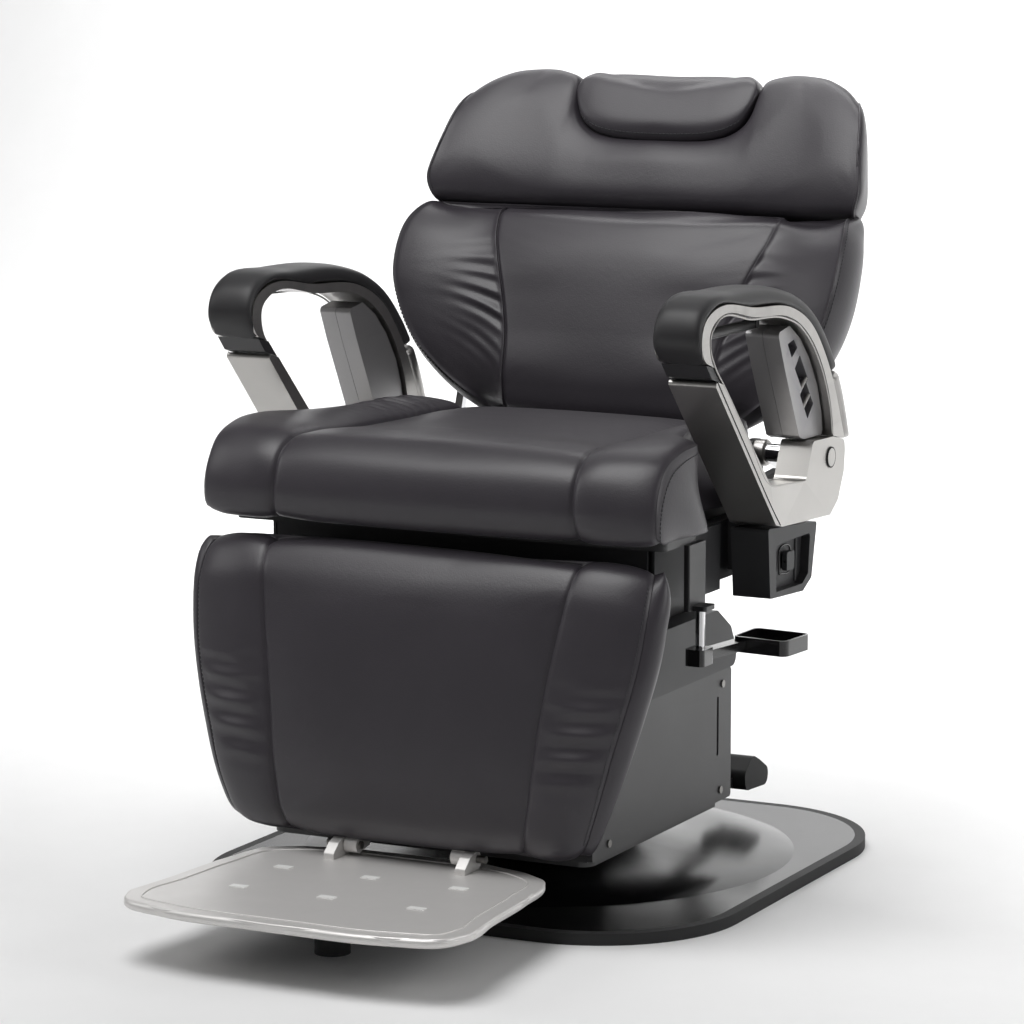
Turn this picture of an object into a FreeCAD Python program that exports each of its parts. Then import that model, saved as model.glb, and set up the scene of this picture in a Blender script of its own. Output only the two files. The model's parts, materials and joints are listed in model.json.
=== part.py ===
"""Hydraulic barber chair, built as a parametric FreeCAD document (millimetres).

Frame: origin on the floor at the swivel axis, +Z up, the sitter faces -Y and the
sitter's left hand is towards +X. Every piece is its own object and its own STEP file.
"""
import math
import os

import FreeCAD
import Part
import Sketcher

# Driving dimensions. Each one becomes a named cell of the sheet "Sizes".
SIZES = {
    # Base and swivel
    "base_width": 730, "base_depth": 770, "base_corner": 190, "base_shift": -18,
    "rim_height": 15, "rim_width": 14,
    "plate_thickness": 8, "dome_radius": 325, "dome_top": 62, "post_radius": 35, "post_top": 90,
    "bearing_inner": 54, "bearing_outer": 78, "bearing_height": 20, "table_bottom": 84.7,
    "table_thickness": 9, "running_gap": 0.05, "hub_wall": 14, "hub_drop": 18,
    # Pump housing
    "housing_half": 235, "panel_thickness": 6, "housing_bottom": 95, "housing_top": 268,
    "housing_rear": 62, "ram_radius": 28, "cylinder_wall": 10, "cylinder_top": 300, "ram_top": 401,
    "sleeve_half": 200, "sleeve_front": -270, "sleeve_rear": 45, "sleeve_wall": 4,
    "sleeve_bottom": 215, "sleeve_top": 395, "sleeve_gap": 3, "screw_radius": 5,
    # Foot pedal
    "pedal_x": 150, "pedal_pivot_y": 28, "pedal_pivot_z": 112, "pedal_pin_radius": 5,
    "pedal_width": 20, "pedal_pad_width": 58, "pedal_pad_front": 240, "pedal_pad_rear": 314,
    "pedal_pad_low": 55, "pedal_pad_high": 104,
    # Seat
    "frame_bottom": 401.5, "frame_rail": 40, "frame_top": 477, "frame_half": 264.5,
    "pan_top": 490, "seat_bottom": 492, "seat_top": 603, "seat_half": 318, "seat_rear_half": 258,
    "seat_front": -360, "seat_step": -185, "seat_rear": 93, "seat_tongue": 140,
    # Arms
    "arm_inner": 281, "arm_outer": 345, "pivot_y": 125, "pivot_z": 543, "axle_radius": 8,
    "cap_radius": 12, "cover_inner": 286, "cover_split": 309, "cover_outer": 332,
    "box_outer": 335, "box_inner": 283, "box_wall": 3,
    "lever_x": 297, "lever_z": 730, "lever_radius": 7, "lever_front": -240, "lever_rear": -24,
    # Backrest, in its own leaning frame (height along the back, depth through it)
    "back_lean": 20, "back_front": 14, "back_rear": 84, "back_bottom": 36, "back_top": 331,
    "hub_radius": 12.5, "hub_inner": 257, "hub_outer": 279.5, "bracket_inner": 245,
    "frame_front": 86, "frame_depth": 12, "shell_rear": 118,
    "head_bottom": 334, "head_top": 523, "head_front": 12, "head_rear": 104,
    "rod_radius": 6, "rod_x": 34, "rod_depth": 92, "pillow_half": 133, "pillow_front": 58,
    "pillow_rear": 116, "pillow_bottom": 443, "pillow_top": 534,
    # Leg rest and footplate
    "leg_pivot_y": -316, "leg_pivot_z": 425, "leg_pin_radius": 6,
    "foot_pivot_y": -400, "foot_pivot_z": 95, "foot_pin_radius": 5, "plate_low": 72,
    "plate_high": 81, "insert_x": 122, "insert_width": 12, "insert_length": 22,
    "rubber_radius": 22, "rubber_low": 10, "rubber_high": 33, "rubber_y": -590,
    # Side tray
    "tray_post_x": 312, "tray_post_y": -210, "tray_post_radius": 6, "tray_low": 325,
    "tray_high": 345, "tray_wall": 3,
}

doc = FreeCAD.newDocument("BarberChair")
sheet = doc.addObject("Spreadsheet::Sheet", "Sizes")
for row, (alias, number) in enumerate(SIZES.items(), start=1):
    sheet.set(f"A{row}", alias)
    sheet.set(f"B{row}", str(number))
    sheet.setAlias(f"B{row}", alias)
doc.recompute()

SIDES = {"right": 1, "left": -1}
PIECES = []


def size(alias):
    """Number held in the sheet cell with this alias."""
    return float(sheet.get(alias))


def bound(text):
    """Expression text in which each plain alias is looked up in the sheet."""
    words = text.replace("(", " ( ").replace(")", " ) ").split()
    return " ".join(f"Sizes.{word}" if word in SIZES else word for word in words)


def new_body(label):
    """Empty body for one piece of the chair."""
    body = doc.addObject("PartDesign::Body", label)
    body.Label = label
    PIECES.append(body)
    return body


def new_sketch(body, plane, offset="0"):
    """Sketch on one of the body's own origin planes, moved along the plane's normal."""
    sketch = body.newObject("Sketcher::SketchObject", f"{body.Label}_sketch")
    support = next(item for item in body.Origin.OriginFeatures if item.Role == plane)
    sketch.AttachmentSupport = [(support, "")]
    sketch.MapMode = "FlatFace"
    sketch.setExpression("AttachmentOffset.Base.z", bound(offset))
    return sketch


def rounded(sketch, points, radius=0.0):
    """Add a closed outline whose corners are arcs of the given radius or the most that fits."""
    corners = [FreeCAD.Vector(x, y) for x, y in points]
    count = len(corners)
    ends = []
    for index, corner in enumerate(corners):
        before = corners[index - 1] - corner
        after = corners[(index + 1) % count] - corner
        turn = math.pi - before.getAngle(after)
        reach = min(radius * math.tan(turn / 2), 0.48 * before.Length, 0.48 * after.Length)
        start = corner + before.normalize() * reach
        end = corner + after.normalize() * reach
        ends.append((start, end))
        if reach > 0.01:
            swell = reach / math.tan(turn / 2) * (1 / math.cos(turn / 2) - 1)
            inward = ((start + end) * 0.5 - corner).normalize()
            sketch.addGeometry(Part.Arc(start, corner + inward * swell, end), False)
    for index in range(count):
        run = (ends[index][1], ends[(index + 1) % count][0])
        if (run[1] - run[0]).Length > 0.001:
            sketch.addGeometry(Part.LineSegment(*run), False)


def curve(sketch, points):
    """Add a smooth curve through the points."""
    spline = Part.BSplineCurve()
    spline.interpolate([FreeCAD.Vector(x, y) for x, y in points])
    sketch.addGeometry(spline, False)


def circle(sketch, radius, x="0", y="0"):
    """Add a circle whose radius and centre are bound to the sheet."""
    index = sketch.addGeometry(Part.Circle(FreeCAD.Vector(0, 0), FreeCAD.Vector(0, 0, 1), 1), False)
    for kind, reference, text in (("DistanceX", (-1, 1, index, 3), x), ("DistanceY", (-1, 1, index, 3), y)):
        row = sketch.addConstraint(Sketcher.Constraint(kind, *reference, 0.0))
        sketch.setExpression(f"Constraints[{row}]", bound(text))
    row = sketch.addConstraint(Sketcher.Constraint("Radius", index, 1.0))
    sketch.setExpression(f"Constraints[{row}]", bound(radius))


def pad(body, sketch, length, symmetric=False):
    """Pad the sketch by a bound length, one way or both ways from its plane."""
    feature = body.newObject("PartDesign::Pad", f"{body.Label}_pad")
    feature.Profile = sketch
    feature.setExpression("Length", bound(length))
    feature.SideType = "Symmetric" if symmetric else "One side"
    return feature


def pocket(body, sketch, length):
    """Cut the sketch both ways from its plane and check that it took material away."""
    doc.recompute()
    before = body.Shape.Volume
    feature = body.newObject("PartDesign::Pocket", f"{body.Label}_pocket")
    feature.Profile = sketch
    feature.setExpression("Length", bound(length))
    feature.SideType = "Symmetric"
    doc.recompute()
    if not body.Shape.Volume < before:
        raise ValueError(f"{body.Label}: a pocket cut nothing")
    return feature


def soften(body, radius, wanted=lambda edge: True):
    """Fillet the edges of the body's tip that the test picks."""
    doc.recompute()
    tip = body.Tip
    names = [f"Edge{n}" for n, edge in enumerate(tip.Shape.Edges, start=1) if wanted(edge)]
    fillet = body.newObject("PartDesign::Fillet", f"{body.Label}_fillet")
    fillet.Base = (tip, names)
    fillet.Radius = radius
    return fillet


def plate(label, points, low, high, plane="XY_Plane", corner=0.0):
    """Flat piece: an outline padded from low to high along the plane's normal."""
    body = new_body(label)
    sketch = new_sketch(body, plane, low)
    rounded(sketch, points, corner)
    pad(body, sketch, f"({high}) - ({low})")
    return body


def slab(label, points, middle, width, corner=0.0):
    """Side-profile piece: a (Y, Z) outline padded both ways from its middle plane in X."""
    body = new_body(label)
    sketch = new_sketch(body, "YZ_Plane", middle)
    rounded(sketch, points, corner)
    pad(body, sketch, width, symmetric=True)
    return body


def disc(label, radius, low, high, x="0", y="0", bore=None):
    """Round upright piece with an optional bore."""
    body = new_body(label)
    sketch = new_sketch(body, "XY_Plane", low)
    circle(sketch, radius, x, y)
    if bore:
        circle(sketch, bore, x, y)
    pad(body, sketch, f"({high}) - ({low})")
    return body


def rod(body, radius, y, z, low, high, bore=None):
    """Add a round bar along X to a body, from low to high."""
    sketch = new_sketch(body, "YZ_Plane", low)
    circle(sketch, radius, y, z)
    if bore:
        circle(sketch, bore, y, z)
    return pad(body, sketch, f"({high}) - ({low})")


def drill(body, radius, plane, x, y, middle, depth):
    """Round hole through a body, centred on the given middle plane."""
    sketch = new_sketch(body, plane, middle)
    circle(sketch, radius, x, y)
    return pocket(body, sketch, depth)


def box_points(x0, y0, x1, y1):
    """Corners of an upright rectangle."""
    return [(x0, y0), (x1, y0), (x1, y1), (x0, y1)]


def mirror_points(half):
    """Closed outline from its +X half, listed from one end of the middle line to the other."""
    return half + [(-x, y) for x, y in reversed(half) if abs(x) > 1e-6]


def across(side, alias_a, alias_b):
    """Middle plane and width, as expressions, of a piece between two X sizes on one side."""
    sign = SIDES[side]
    return f"{sign} * ({alias_a} + {alias_b}) / 2", f"{alias_b} - {alias_a}"


def group(label, shapes):
    """One node that holds several separate solids of the same kind."""
    piece = doc.addObject("Part::Feature", label)
    piece.Label = label
    piece.Shape = Part.makeCompound(shapes) if len(shapes) > 1 else shapes[0]
    PIECES.append(piece)
    return piece


def bar(radius, start, end):
    """Plain round bar between two points."""
    start, end = FreeCAD.Vector(*start), FreeCAD.Vector(*end)
    return Part.makeCylinder(radius, (end - start).Length, start, end - start)


def block(low, high):
    """Plain block between two opposite corners."""
    spans = [b - a for a, b in zip(low, high)]
    return Part.makeBox(*spans, FreeCAD.Vector(*low))


# ---------------------------------------------------------------- base and swivel
def build_base():
    """Floor plate, gloss cover with its round dome, rim moulding, post and bearing."""
    half_x, half_y = size("base_width") / 2, size("base_depth") / 2
    corner, rim = size("base_corner"), size("rim_width")
    front, rear = size("base_shift") - half_y, size("base_shift") + half_y
    inner = box_points(rim - half_x, front + rim, half_x - rim, rear - rim)
    plate("base_plate", inner, "0", "plate_thickness", corner=corner - rim)
    moulding = new_body("base_rim")
    sketch = new_sketch(moulding, "XY_Plane")
    rounded(sketch, box_points(-half_x, front, half_x, rear), corner)
    rounded(sketch, inner, corner - rim)
    pad(moulding, sketch, "rim_height")
    cover = plate("base_cover", inner, "plate_thickness", "rim_height", corner=corner - rim)
    dome = new_sketch(cover, "XZ_Plane")
    edge, top, low = size("dome_radius"), size("dome_top"), size("rim_height")
    curve(dome, [(edge, low), (edge * 0.72, low + 12), (edge * 0.42, low + 26), (edge * 0.3, top)])
    hub = size("post_radius")
    for run in (((edge * 0.3, top), (hub, top)), ((hub, top), (hub, low - 2)),
                ((hub, low - 2), (edge, low - 2)), ((edge, low - 2), (edge, low))):
        dome.addGeometry(Part.LineSegment(*[FreeCAD.Vector(*point) for point in run]), False)
    turned = cover.newObject("PartDesign::Revolution", "base_cover_dome")
    turned.Profile = dome
    turned.ReferenceAxis = (dome, ["V_Axis"])
    drill(cover, "post_radius", "XY_Plane", "0", "0", "dome_top / 2", "dome_top * 3")
    disc("swivel_post", "post_radius", "plate_thickness", "post_top")
    disc("swivel_bearing", "bearing_outer", "dome_top", "dome_top + bearing_height", bore="bearing_inner")


# ---------------------------------------------------------------- turntable and pump housing
def build_turntable():
    """Turning plate with the hub on the post, hydraulic cylinder and pump unit."""
    table = plate("turntable_plate", box_points(-225, -345, 225, 50), "table_bottom",
                  "table_bottom + table_thickness", corner=18)
    hub = new_sketch(table, "XY_Plane", "table_bottom - hub_drop")
    circle(hub, "post_radius + hub_wall")
    pad(table, hub, "hub_drop + table_thickness / 2")
    drill(table, "post_radius + running_gap", "XY_Plane", "0", "0", "table_bottom - hub_drop",
          "(hub_drop + table_thickness) * 2 + 2")
    for step in (-1, 1):
        ear = new_sketch(table, "YZ_Plane", f"pedal_x + {step} * 16")
        rounded(ear, box_points(size("pedal_pivot_y") - 12, 90, size("pedal_pivot_y") + 12,
                                size("pedal_pivot_z") + 11), 8)
        pad(table, ear, "6", symmetric=True)
    drill(table, "pedal_pin_radius", "YZ_Plane", "pedal_pivot_y", "pedal_pivot_z", "pedal_x", "60")
    disc("pump_cylinder", "ram_radius + cylinder_wall", "table_bottom + table_thickness",
         "cylinder_top", bore="ram_radius + running_gap")
    unit = plate("pump_unit", box_points(-120, -230, 60, -90), "table_bottom + table_thickness", "190",
                 corner=12)
    motor = new_sketch(unit, "XY_Plane", "180")
    circle(motor, "38", "-30", "-160")
    pad(unit, motor, "30")


def build_housing():
    """Flat panels round the pump, the screws that hold them and the upper shroud."""
    top, low, rear = size("housing_top"), size("housing_bottom"), size("housing_rear")
    side_profile = [(-358, low), (rear, low), (rear, top), (-325, top)]
    for side in SIDES:
        middle, width = across(side, "(housing_half - panel_thickness)", "housing_half")
        panel = slab(f"housing_{side}", side_profile, middle, width, corner=5)
        groove = new_sketch(panel, "YZ_Plane", f"{SIDES[side]} * housing_half")
        rounded(groove, box_points(16, 157, 22, 235), 2.9)
        pocket(panel, groove, "3")
    wall = size("panel_thickness")
    front = [(-358, low), (-358 + wall, low), (-325 + wall, top), (-325, top)]
    slab("housing_front", front, "0", "(housing_half - panel_thickness - 0.5) * 2")
    rear_panel = slab("housing_rear", box_points(rear - wall, low, rear, top), "0",
                      "(housing_half - panel_thickness - 0.5) * 2")
    slot = new_sketch(rear_panel, "XZ_Plane", "-1 * housing_rear")
    rounded(slot, box_points(size("pedal_x") - 16, 80, size("pedal_x") + 16, 128), 0)
    pocket(rear_panel, slot, "40")
    lobe = [(-329, top), (74, top), (79, 288), (60, 322), (16, 350), (-320, 350)]
    shroud = slab("upper_shroud", lobe, "0", "housing_half * 2", corner=14)
    well = new_sketch(shroud, "XY_Plane", "housing_top")
    gap = size("sleeve_gap")
    rounded(well, box_points(-size("sleeve_half") - gap, size("sleeve_front") - gap,
                             size("sleeve_half") + gap, size("sleeve_rear") + gap), 9)
    pocket(shroud, well, "400")
    heads = []
    for sign in SIDES.values():
        for y, z in ((33, 250), (28, 110), (-310, 110), (-290, 250)):
            face = sign * size("housing_half")
            heads.append(bar(size("screw_radius"), (face, y, z), (face + sign * 2, y, z)))
    group("housing_screws", heads)


def build_pedal():
    """Pump pedal: bent lever on a pin, with a rubber-covered pad behind the housing."""
    y, z = size("pedal_pivot_y"), size("pedal_pivot_z")
    arm = [(y - 10, z - 8), (y + 20, z - 9), (205, 70), (240, 63), (302, 60), (302, 68), (240, 74),
           (y + 22, z + 8), (y - 8, z + 9)]
    lever = slab("pump_pedal", arm, "pedal_x", "pedal_width", corner=7)
    drill(lever, "pedal_pin_radius + running_gap", "YZ_Plane", "pedal_pivot_y", "pedal_pivot_z",
          "pedal_x", "60")
    pin = new_body("pedal_pin")
    rod(pin, "pedal_pin_radius", "pedal_pivot_y", "pedal_pivot_z", "pedal_x - 21", "pedal_x + 21")
    front, rear = size("pedal_pad_front"), size("pedal_pad_rear")
    low, high = size("pedal_pad_low"), size("pedal_pad_high")
    lobe = [(front, low + 4), (rear, low), (rear + 4, low + 22), (rear - 26, high - 10), (front + 26, high),
            (front - 2, high - 20)]
    cover = slab("pedal_pad", lobe, "pedal_x", "pedal_pad_width", corner=12)
    seat = new_sketch(cover, "YZ_Plane", "pedal_x")
    rounded(seat, [(190, 71), (205, 69), (239, 61.5), (302.5, 59), (302.5, 69), (239, 75.5), (190, 84)], 0)
    pocket(cover, seat, "pedal_width + 0.2")


# ---------------------------------------------------------------- seat carriage
def build_carriage():
    """Lift ram and sleeve, welded seat frame, pan, cushion, skirts and side boxes."""
    disc("lift_ram", "ram_radius", "110", "ram_top")
    sleeve = new_body("lift_sleeve")
    sketch = new_sketch(sleeve, "XY_Plane", "sleeve_bottom")
    half, front, rear = size("sleeve_half"), size("sleeve_front"), size("sleeve_rear")
    wall = size("sleeve_wall")
    rounded(sketch, box_points(-half, front, half, rear), 6)
    rounded(sketch, box_points(wall - half, front + wall, half - wall, rear - wall), 2)
    pad(sleeve, sketch, "sleeve_top - sleeve_bottom")
    build_seat_frame()
    outline = mirror_points([(0, -296), (302, -296), (302, -196), (246, -196), (246, 98), (0, 98)])
    plate("seat_pan", outline, "frame_top + 0.5", "pan_top", corner=10)
    half_plan = [(0, size("seat_front")), (size("seat_half") - 22, size("seat_front") + 4),
                 (size("seat_half"), size("seat_front") + 36), (size("seat_half"), size("seat_step")),
                 (size("seat_rear_half"), size("seat_step") + 4), (size("seat_rear_half"), size("seat_rear")),
                 (222, size("seat_rear")), (214, size("seat_tongue")), (0, size("seat_tongue"))]
    cushion = plate("seat_cushion", mirror_points(half_plan), "seat_bottom", "seat_top", corner=16)
    soften(cushion, 12, lambda edge: edge.BoundBox.ZMin > size("seat_top") - 1)
    skirts = [block((sign * 268 - 2, -255, 392), (sign * 268 + 2, -56, 476)) for sign in SIDES.values()]
    group("seat_skirts", skirts + [block((-262, -259, 443), (262, -255.5, 476))])


def build_seat_frame():
    """Side and cross rails with the two uprights that hold the inner ends of the axles."""
    low, top, outer = size("frame_bottom"), size("frame_top"), size("frame_half")
    body = new_body("seat_frame")
    sketch = new_sketch(body, "XY_Plane", "frame_bottom")
    rail = size("frame_rail")
    rounded(sketch, box_points(-outer, -250, outer, 100), 0)
    rounded(sketch, box_points(rail - outer, rail - 250, -50, 100 - rail), 4)
    rounded(sketch, box_points(50, rail - 250, outer - rail, 100 - rail), 4)
    pad(body, sketch, "frame_top - frame_bottom")
    relief = new_sketch(body, "XZ_Plane")
    rounded(relief, box_points(rail - outer, low - 1, outer - rail, low + 8), 0)
    rounded(relief, box_points(rail - outer, low + 38, outer - rail, top + 1), 0)
    ram_seat = new_sketch(body, "XY_Plane", "frame_bottom")
    circle(ram_seat, "ram_radius + 12")
    pocket(body, relief, "700")
    pad(body, ram_seat, "20")
    for sign in SIDES.values():
        upright = new_sketch(body, "YZ_Plane", f"{sign} * 236")
        rounded(upright, [(60, low + 20), (99, low + 20), (147, 520), (142, 560), (108, 560), (99, 520),
                          (99, 470), (60, 470)], 9)
        pad(body, upright, "10", symmetric=True)
        drill(body, "axle_radius", "YZ_Plane", "pivot_y", "pivot_z", f"{sign} * 236", "12")
    hanger_points = [(-212, low + 10), (-212, 440), (-250, 440), (-304, 434), (-322, 434), (-325, 418),
                     (-308, 414), (-250, low + 10)]
    for sign in SIDES.values():
        hanger = new_sketch(body, "YZ_Plane", f"{sign} * 205")
        rounded(hanger, hanger_points, 5)
        pad(body, hanger, "8", symmetric=True)
        drill(body, "leg_pin_radius", "YZ_Plane", "leg_pivot_y", "leg_pivot_z", f"{sign} * 205", "12")


def build_side_boxes():
    """Control boxes under the arm shoes, the rocker switch and the arm mounting plates."""
    profile = [(-53, 473), (-45, 382), (62, 376), (90, 390), (106, 461)]
    core = [(-49, 469.5), (-41.5, 386), (60, 380.5), (86, 393), (100, 457.5)]
    for side in SIDES:
        sign = SIDES[side]
        middle, width = across(side, "box_inner", "box_outer")
        shell = slab(f"side_box_{side}", profile, middle, width, corner=4)
        hollow = new_sketch(shell, "YZ_Plane", f"{sign} * box_inner")
        rounded(hollow, core, 2)
        pocket(shell, hollow, "(box_outer - box_inner - box_wall - 16) * 2")
        recess = new_sketch(shell, "YZ_Plane", f"{sign} * box_outer")
        rounded(recess, [(-28, 449), (-26, 388), (60, 386), (78, 397), (84, 449)], 5)
        pocket(shell, recess, "12 * 2")
    rocker = slab("control_rocker", [(14, 409), (38, 409), (38, 433), (14, 433)], "329", "7", corner=3)
    drill(rocker, "1.5", "XZ_Plane", "329", "421", "-26", "30")
    mounts = []
    for sign in SIDES.values():
        inner, outer = sorted((sign * 265, sign * 280.6))
        mounts.append(block((inner, -22, 412), (outer, 36, 512)))
    group("arm_mounts", mounts)


# ---------------------------------------------------------------- arms
RAIL_OUTER = [(-269, 708), (-284, 731), (-278, 754), (-256, 768), (-128, 763), (-26, 755), (24, 741),
              (62, 721), (95, 691), (128, 649), (156, 597), (173, 562)]
RAIL_INNER = [(134, 570), (128, 602), (112, 640), (84, 680), (52, 709), (17, 729), (-30, 743), (-128, 751),
              (-244, 756), (-259, 744), (-261, 726), (-247, 701)]
PAD_OUTER = [(207, 557), (182, 621), (131, 693), (80, 737), (30, 762), (-35, 779), (-176, 788), (-254, 785),
             (-283, 769), (-294, 738), (-270, 704.5)]
SHOE = [(-251, 686), (-52, 479), (-31, 474), (127, 467), (153, 484), (172, 519), (175, 547), (172.5, 561),
        (134, 569), (67, 571), (44, 522), (-68, 530), (-219, 677)]
BAND = [(-250, 687), (-219, 678), (-241, 699.5), (-267, 705.5)]
COVER = [(-21, 719), (-1, 676), (51, 578), (66, 573), (129, 572), (124, 602), (109, 638), (81, 677),
         (50, 705.5), (16, 725)]
LADDER = [[(34, 668), (62, 634), (78, 650), (50, 684)], [(52, 632), (78, 598), (96, 616), (70, 648)],
          [(10, 702), (24, 683), (42, 694), (30, 706)]]


def build_arms():
    """Cast rail and strut, dark joint band, soft pad and the two-part link cover of each arm."""
    for side in SIDES:
        sign = SIDES[side]
        middle, width = across(side, "arm_inner", "arm_outer")
        rail = new_body(f"arm_rail_{side}")
        sketch = new_sketch(rail, "YZ_Plane", middle)
        join_curves(sketch, RAIL_OUTER, RAIL_INNER)
        pad(rail, sketch, width, symmetric=True)
        strut = slab(f"arm_strut_{side}", SHOE, middle, width, corner=9)
        recess = new_sketch(strut, "YZ_Plane", f"{sign} * arm_inner")
        rounded(recess, [(40, 500), (200, 500), (200, 600), (40, 600)], 0)
        pocket(strut, recess, "19 * 2")
        drill(strut, "axle_radius", "YZ_Plane", "pivot_y", "pivot_z", f"{sign} * 320", "80")
        soft = new_body(f"arm_pad_{side}")
        sketch = new_sketch(soft, "YZ_Plane", middle)
        join_curves(sketch, RAIL_OUTER, PAD_OUTER)
        pad(soft, sketch, width, symmetric=True)
        for half, (low, high) in {"inner": ("cover_inner", "(cover_split - 0.25)"),
                                  "outer": ("(cover_split + 0.25)", "cover_outer")}.items():
            middle, width = across(side, low, high)
            shell = slab(f"link_cover_{half}_{side}", COVER, middle, width, corner=6)
            if half == "outer":
                windows = new_sketch(shell, "YZ_Plane", f"{sign} * cover_outer")
                for window in LADDER:
                    rounded(windows, window, 2)
                pocket(shell, windows, "16 * 2")
    bands, axles = [], []
    for sign in SIDES.values():
        bands.append(prism(BAND, *sorted((sign * (size("arm_inner") + 2), sign * (size("arm_outer") - 2)))))
        y, z = size("pivot_y"), size("pivot_z")
        axle = bar(size("axle_radius"), (sign * 231.5, y, z), (sign * size("arm_outer"), y, z))
        cap = bar(size("cap_radius"), (sign * size("arm_outer"), y, z), (sign * (size("arm_outer") + 2), y, z))
        axles.append(axle.fuse(cap).removeSplitter())
    group("arm_bands", bands)
    group("pivot_axles", axles)


def prism(points, low, high):
    """Straight prism of a (Y, Z) outline between two X positions."""
    ring = [FreeCAD.Vector(low, y, z) for y, z in points]
    face = Part.Face(Part.makePolygon(ring + ring[:1]))
    return face.extrude(FreeCAD.Vector(high - low, 0, 0))


def join_curves(sketch, first, second):
    """Closed outline of two smooth curves joined by straight ends."""
    curve(sketch, first)
    curve(sketch, second)
    ends = [(first[-1], second[0]), (second[-1], first[0])]
    for start, end in ends:
        sketch.addGeometry(Part.LineSegment(FreeCAD.Vector(*start), FreeCAD.Vector(*end)), False)


def build_recline_lever():
    """Round squeeze bar under the right arm rail, hinged near its rear end."""
    lever = new_body("recline_lever")
    sketch = new_sketch(lever, "XZ_Plane", "-1 * lever_rear")
    circle(sketch, "lever_radius", "lever_x", "lever_z")
    pad(lever, sketch, "lever_rear - lever_front")
    soften(lever, 3, lambda edge: abs(edge.BoundBox.YMax - size("lever_front")) < 0.5
           and edge.BoundBox.YLength < 0.5)
    rod(lever, "lever_radius - 1.5", "lever_rear", "lever_z", "lever_x - lever_radius - 1",
        "lever_x + lever_radius + 1")


# ---------------------------------------------------------------- backrest, in its leaning frame
def lean(body):
    """Stand a piece of the backrest on the recline pivot, leaning back by the lean angle."""
    body.setExpression("Placement.Base.y", bound("pivot_y"))
    body.setExpression("Placement.Base.z", bound("pivot_z"))
    body.setExpression("Placement.Rotation.Axis.x", "1")
    body.setExpression("Placement.Rotation.Axis.y", "0")
    body.setExpression("Placement.Rotation.Axis.z", "0")
    body.setExpression("Placement.Rotation.Angle", bound("-1 * back_lean"))


def panel_through(label, points, front, rear, corner):
    """Piece of the back: an outline seen from the front, padded from front to rear depth."""
    body = new_body(label)
    sketch = new_sketch(body, "XZ_Plane", f"-1 * ({rear})")
    rounded(sketch, points, corner)
    pad(body, sketch, f"({rear}) - ({front})")
    return body


def build_backrest():
    """Back cushion, winged head cushion, steel frame with hubs and the rear shell."""
    low, top = size("back_bottom"), size("back_top")
    shield = [(0, low), (150, low), (196, 58), (252, 88), (312, 138), (338, 184), (345, 228), (341, 284),
              (325, top), (0, top)]
    cushion = panel_through("back_cushion", mirror_points(shield), "back_front", "back_rear", 26)
    soften(cushion, 14, lambda edge: edge.BoundBox.YMax < size("back_front") + 1)
    lean(cushion)
    head_low, head_top = size("head_bottom"), size("head_top")
    notch = size("pillow_half") + 5
    wings = [(0, head_low), (316, head_low), (323, 360), (316, 388), (309, 425), (301, 472), (288, 508),
             (258, head_top), (170, head_top), (notch + 4, 506), (notch, 486), (notch - 16, 462),
             (100, 444), (60, 438), (0, 438)]
    head = panel_through("head_cushion", mirror_points(wings), "head_front", "head_rear", 12)
    slope = new_sketch(head, "YZ_Plane")
    rounded(slope, [(0, 372), (size("head_front"), 372), (58, 520), (58, 540), (0, 540)], 0)
    pocket(head, slope, "800")
    for sign in SIDES.values():
        drill(head, "rod_radius + 0.3", "XY_Plane", f"{sign} * rod_x", "rod_depth", "head_bottom", "500")
    lean(head)
    build_back_frame()
    rim = [(0, 60), (140, 60), (215, 92), (270, 142), (285, 200), (285, 300), (262, 330), (240, 470),
           (150, 486), (130, 430), (0, 420)]
    shell = panel_through("back_shell", mirror_points(rim), "106", "shell_rear", 18)
    cavity = new_sketch(shell, "XZ_Plane", "-106")
    inner = [(0, 66), (138, 66), (211, 97), (264, 145), (279, 201), (279, 298), (256, 328), (234, 464),
             (154, 479), (134, 424), (0, 414)]
    rounded(cavity, mirror_points(inner), 14)
    pocket(shell, cavity, "16")
    soften(shell, 3, lambda edge: edge.BoundBox.YMin > size("shell_rear") - 1)
    lean(shell)


def build_back_frame():
    """Flat steel frame behind the cushions, its two pivot brackets and the headrest guides."""
    frame = new_body("back_frame")
    sketch = new_sketch(frame, "XZ_Plane", "-1 * (frame_front + frame_depth)")
    rounded(sketch, box_points(-255, 84, 255, 320), 14)
    rounded(sketch, box_points(-225, 114, 225, 225), 8)
    rounded(sketch, box_points(-225, 255, 225, 290), 8)
    pad(frame, sketch, "frame_depth")
    lean(frame)
    brackets = []
    low_x, high_x = size("bracket_inner"), size("hub_inner") - 1
    front, rear = size("frame_front"), size("frame_front") + size("frame_depth")
    path = [(-12, -12), (rear, -12), (rear, 83.5), (front, 83.5), (front, 22), (60, 12), (-12, 12)]
    for sign in SIDES.values():
        arm = prism(path, *sorted((sign * low_x, sign * high_x)))
        hub = bar(size("hub_radius"), (sign * (low_x - 1), 0, 0), (sign * size("hub_outer"), 0, 0))
        bore = bar(size("axle_radius") + size("running_gap"), (sign * 200, 0, 0), (sign * 340, 0, 0))
        brackets.append(arm.fuse(hub).cut(bore).removeSplitter())
    hubs = group("back_hubs", brackets)
    hubs.Placement = FreeCAD.Placement(FreeCAD.Vector(0, size("pivot_y"), size("pivot_z")),
                                       FreeCAD.Rotation(FreeCAD.Vector(1, 0, 0), -size("back_lean")))


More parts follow.
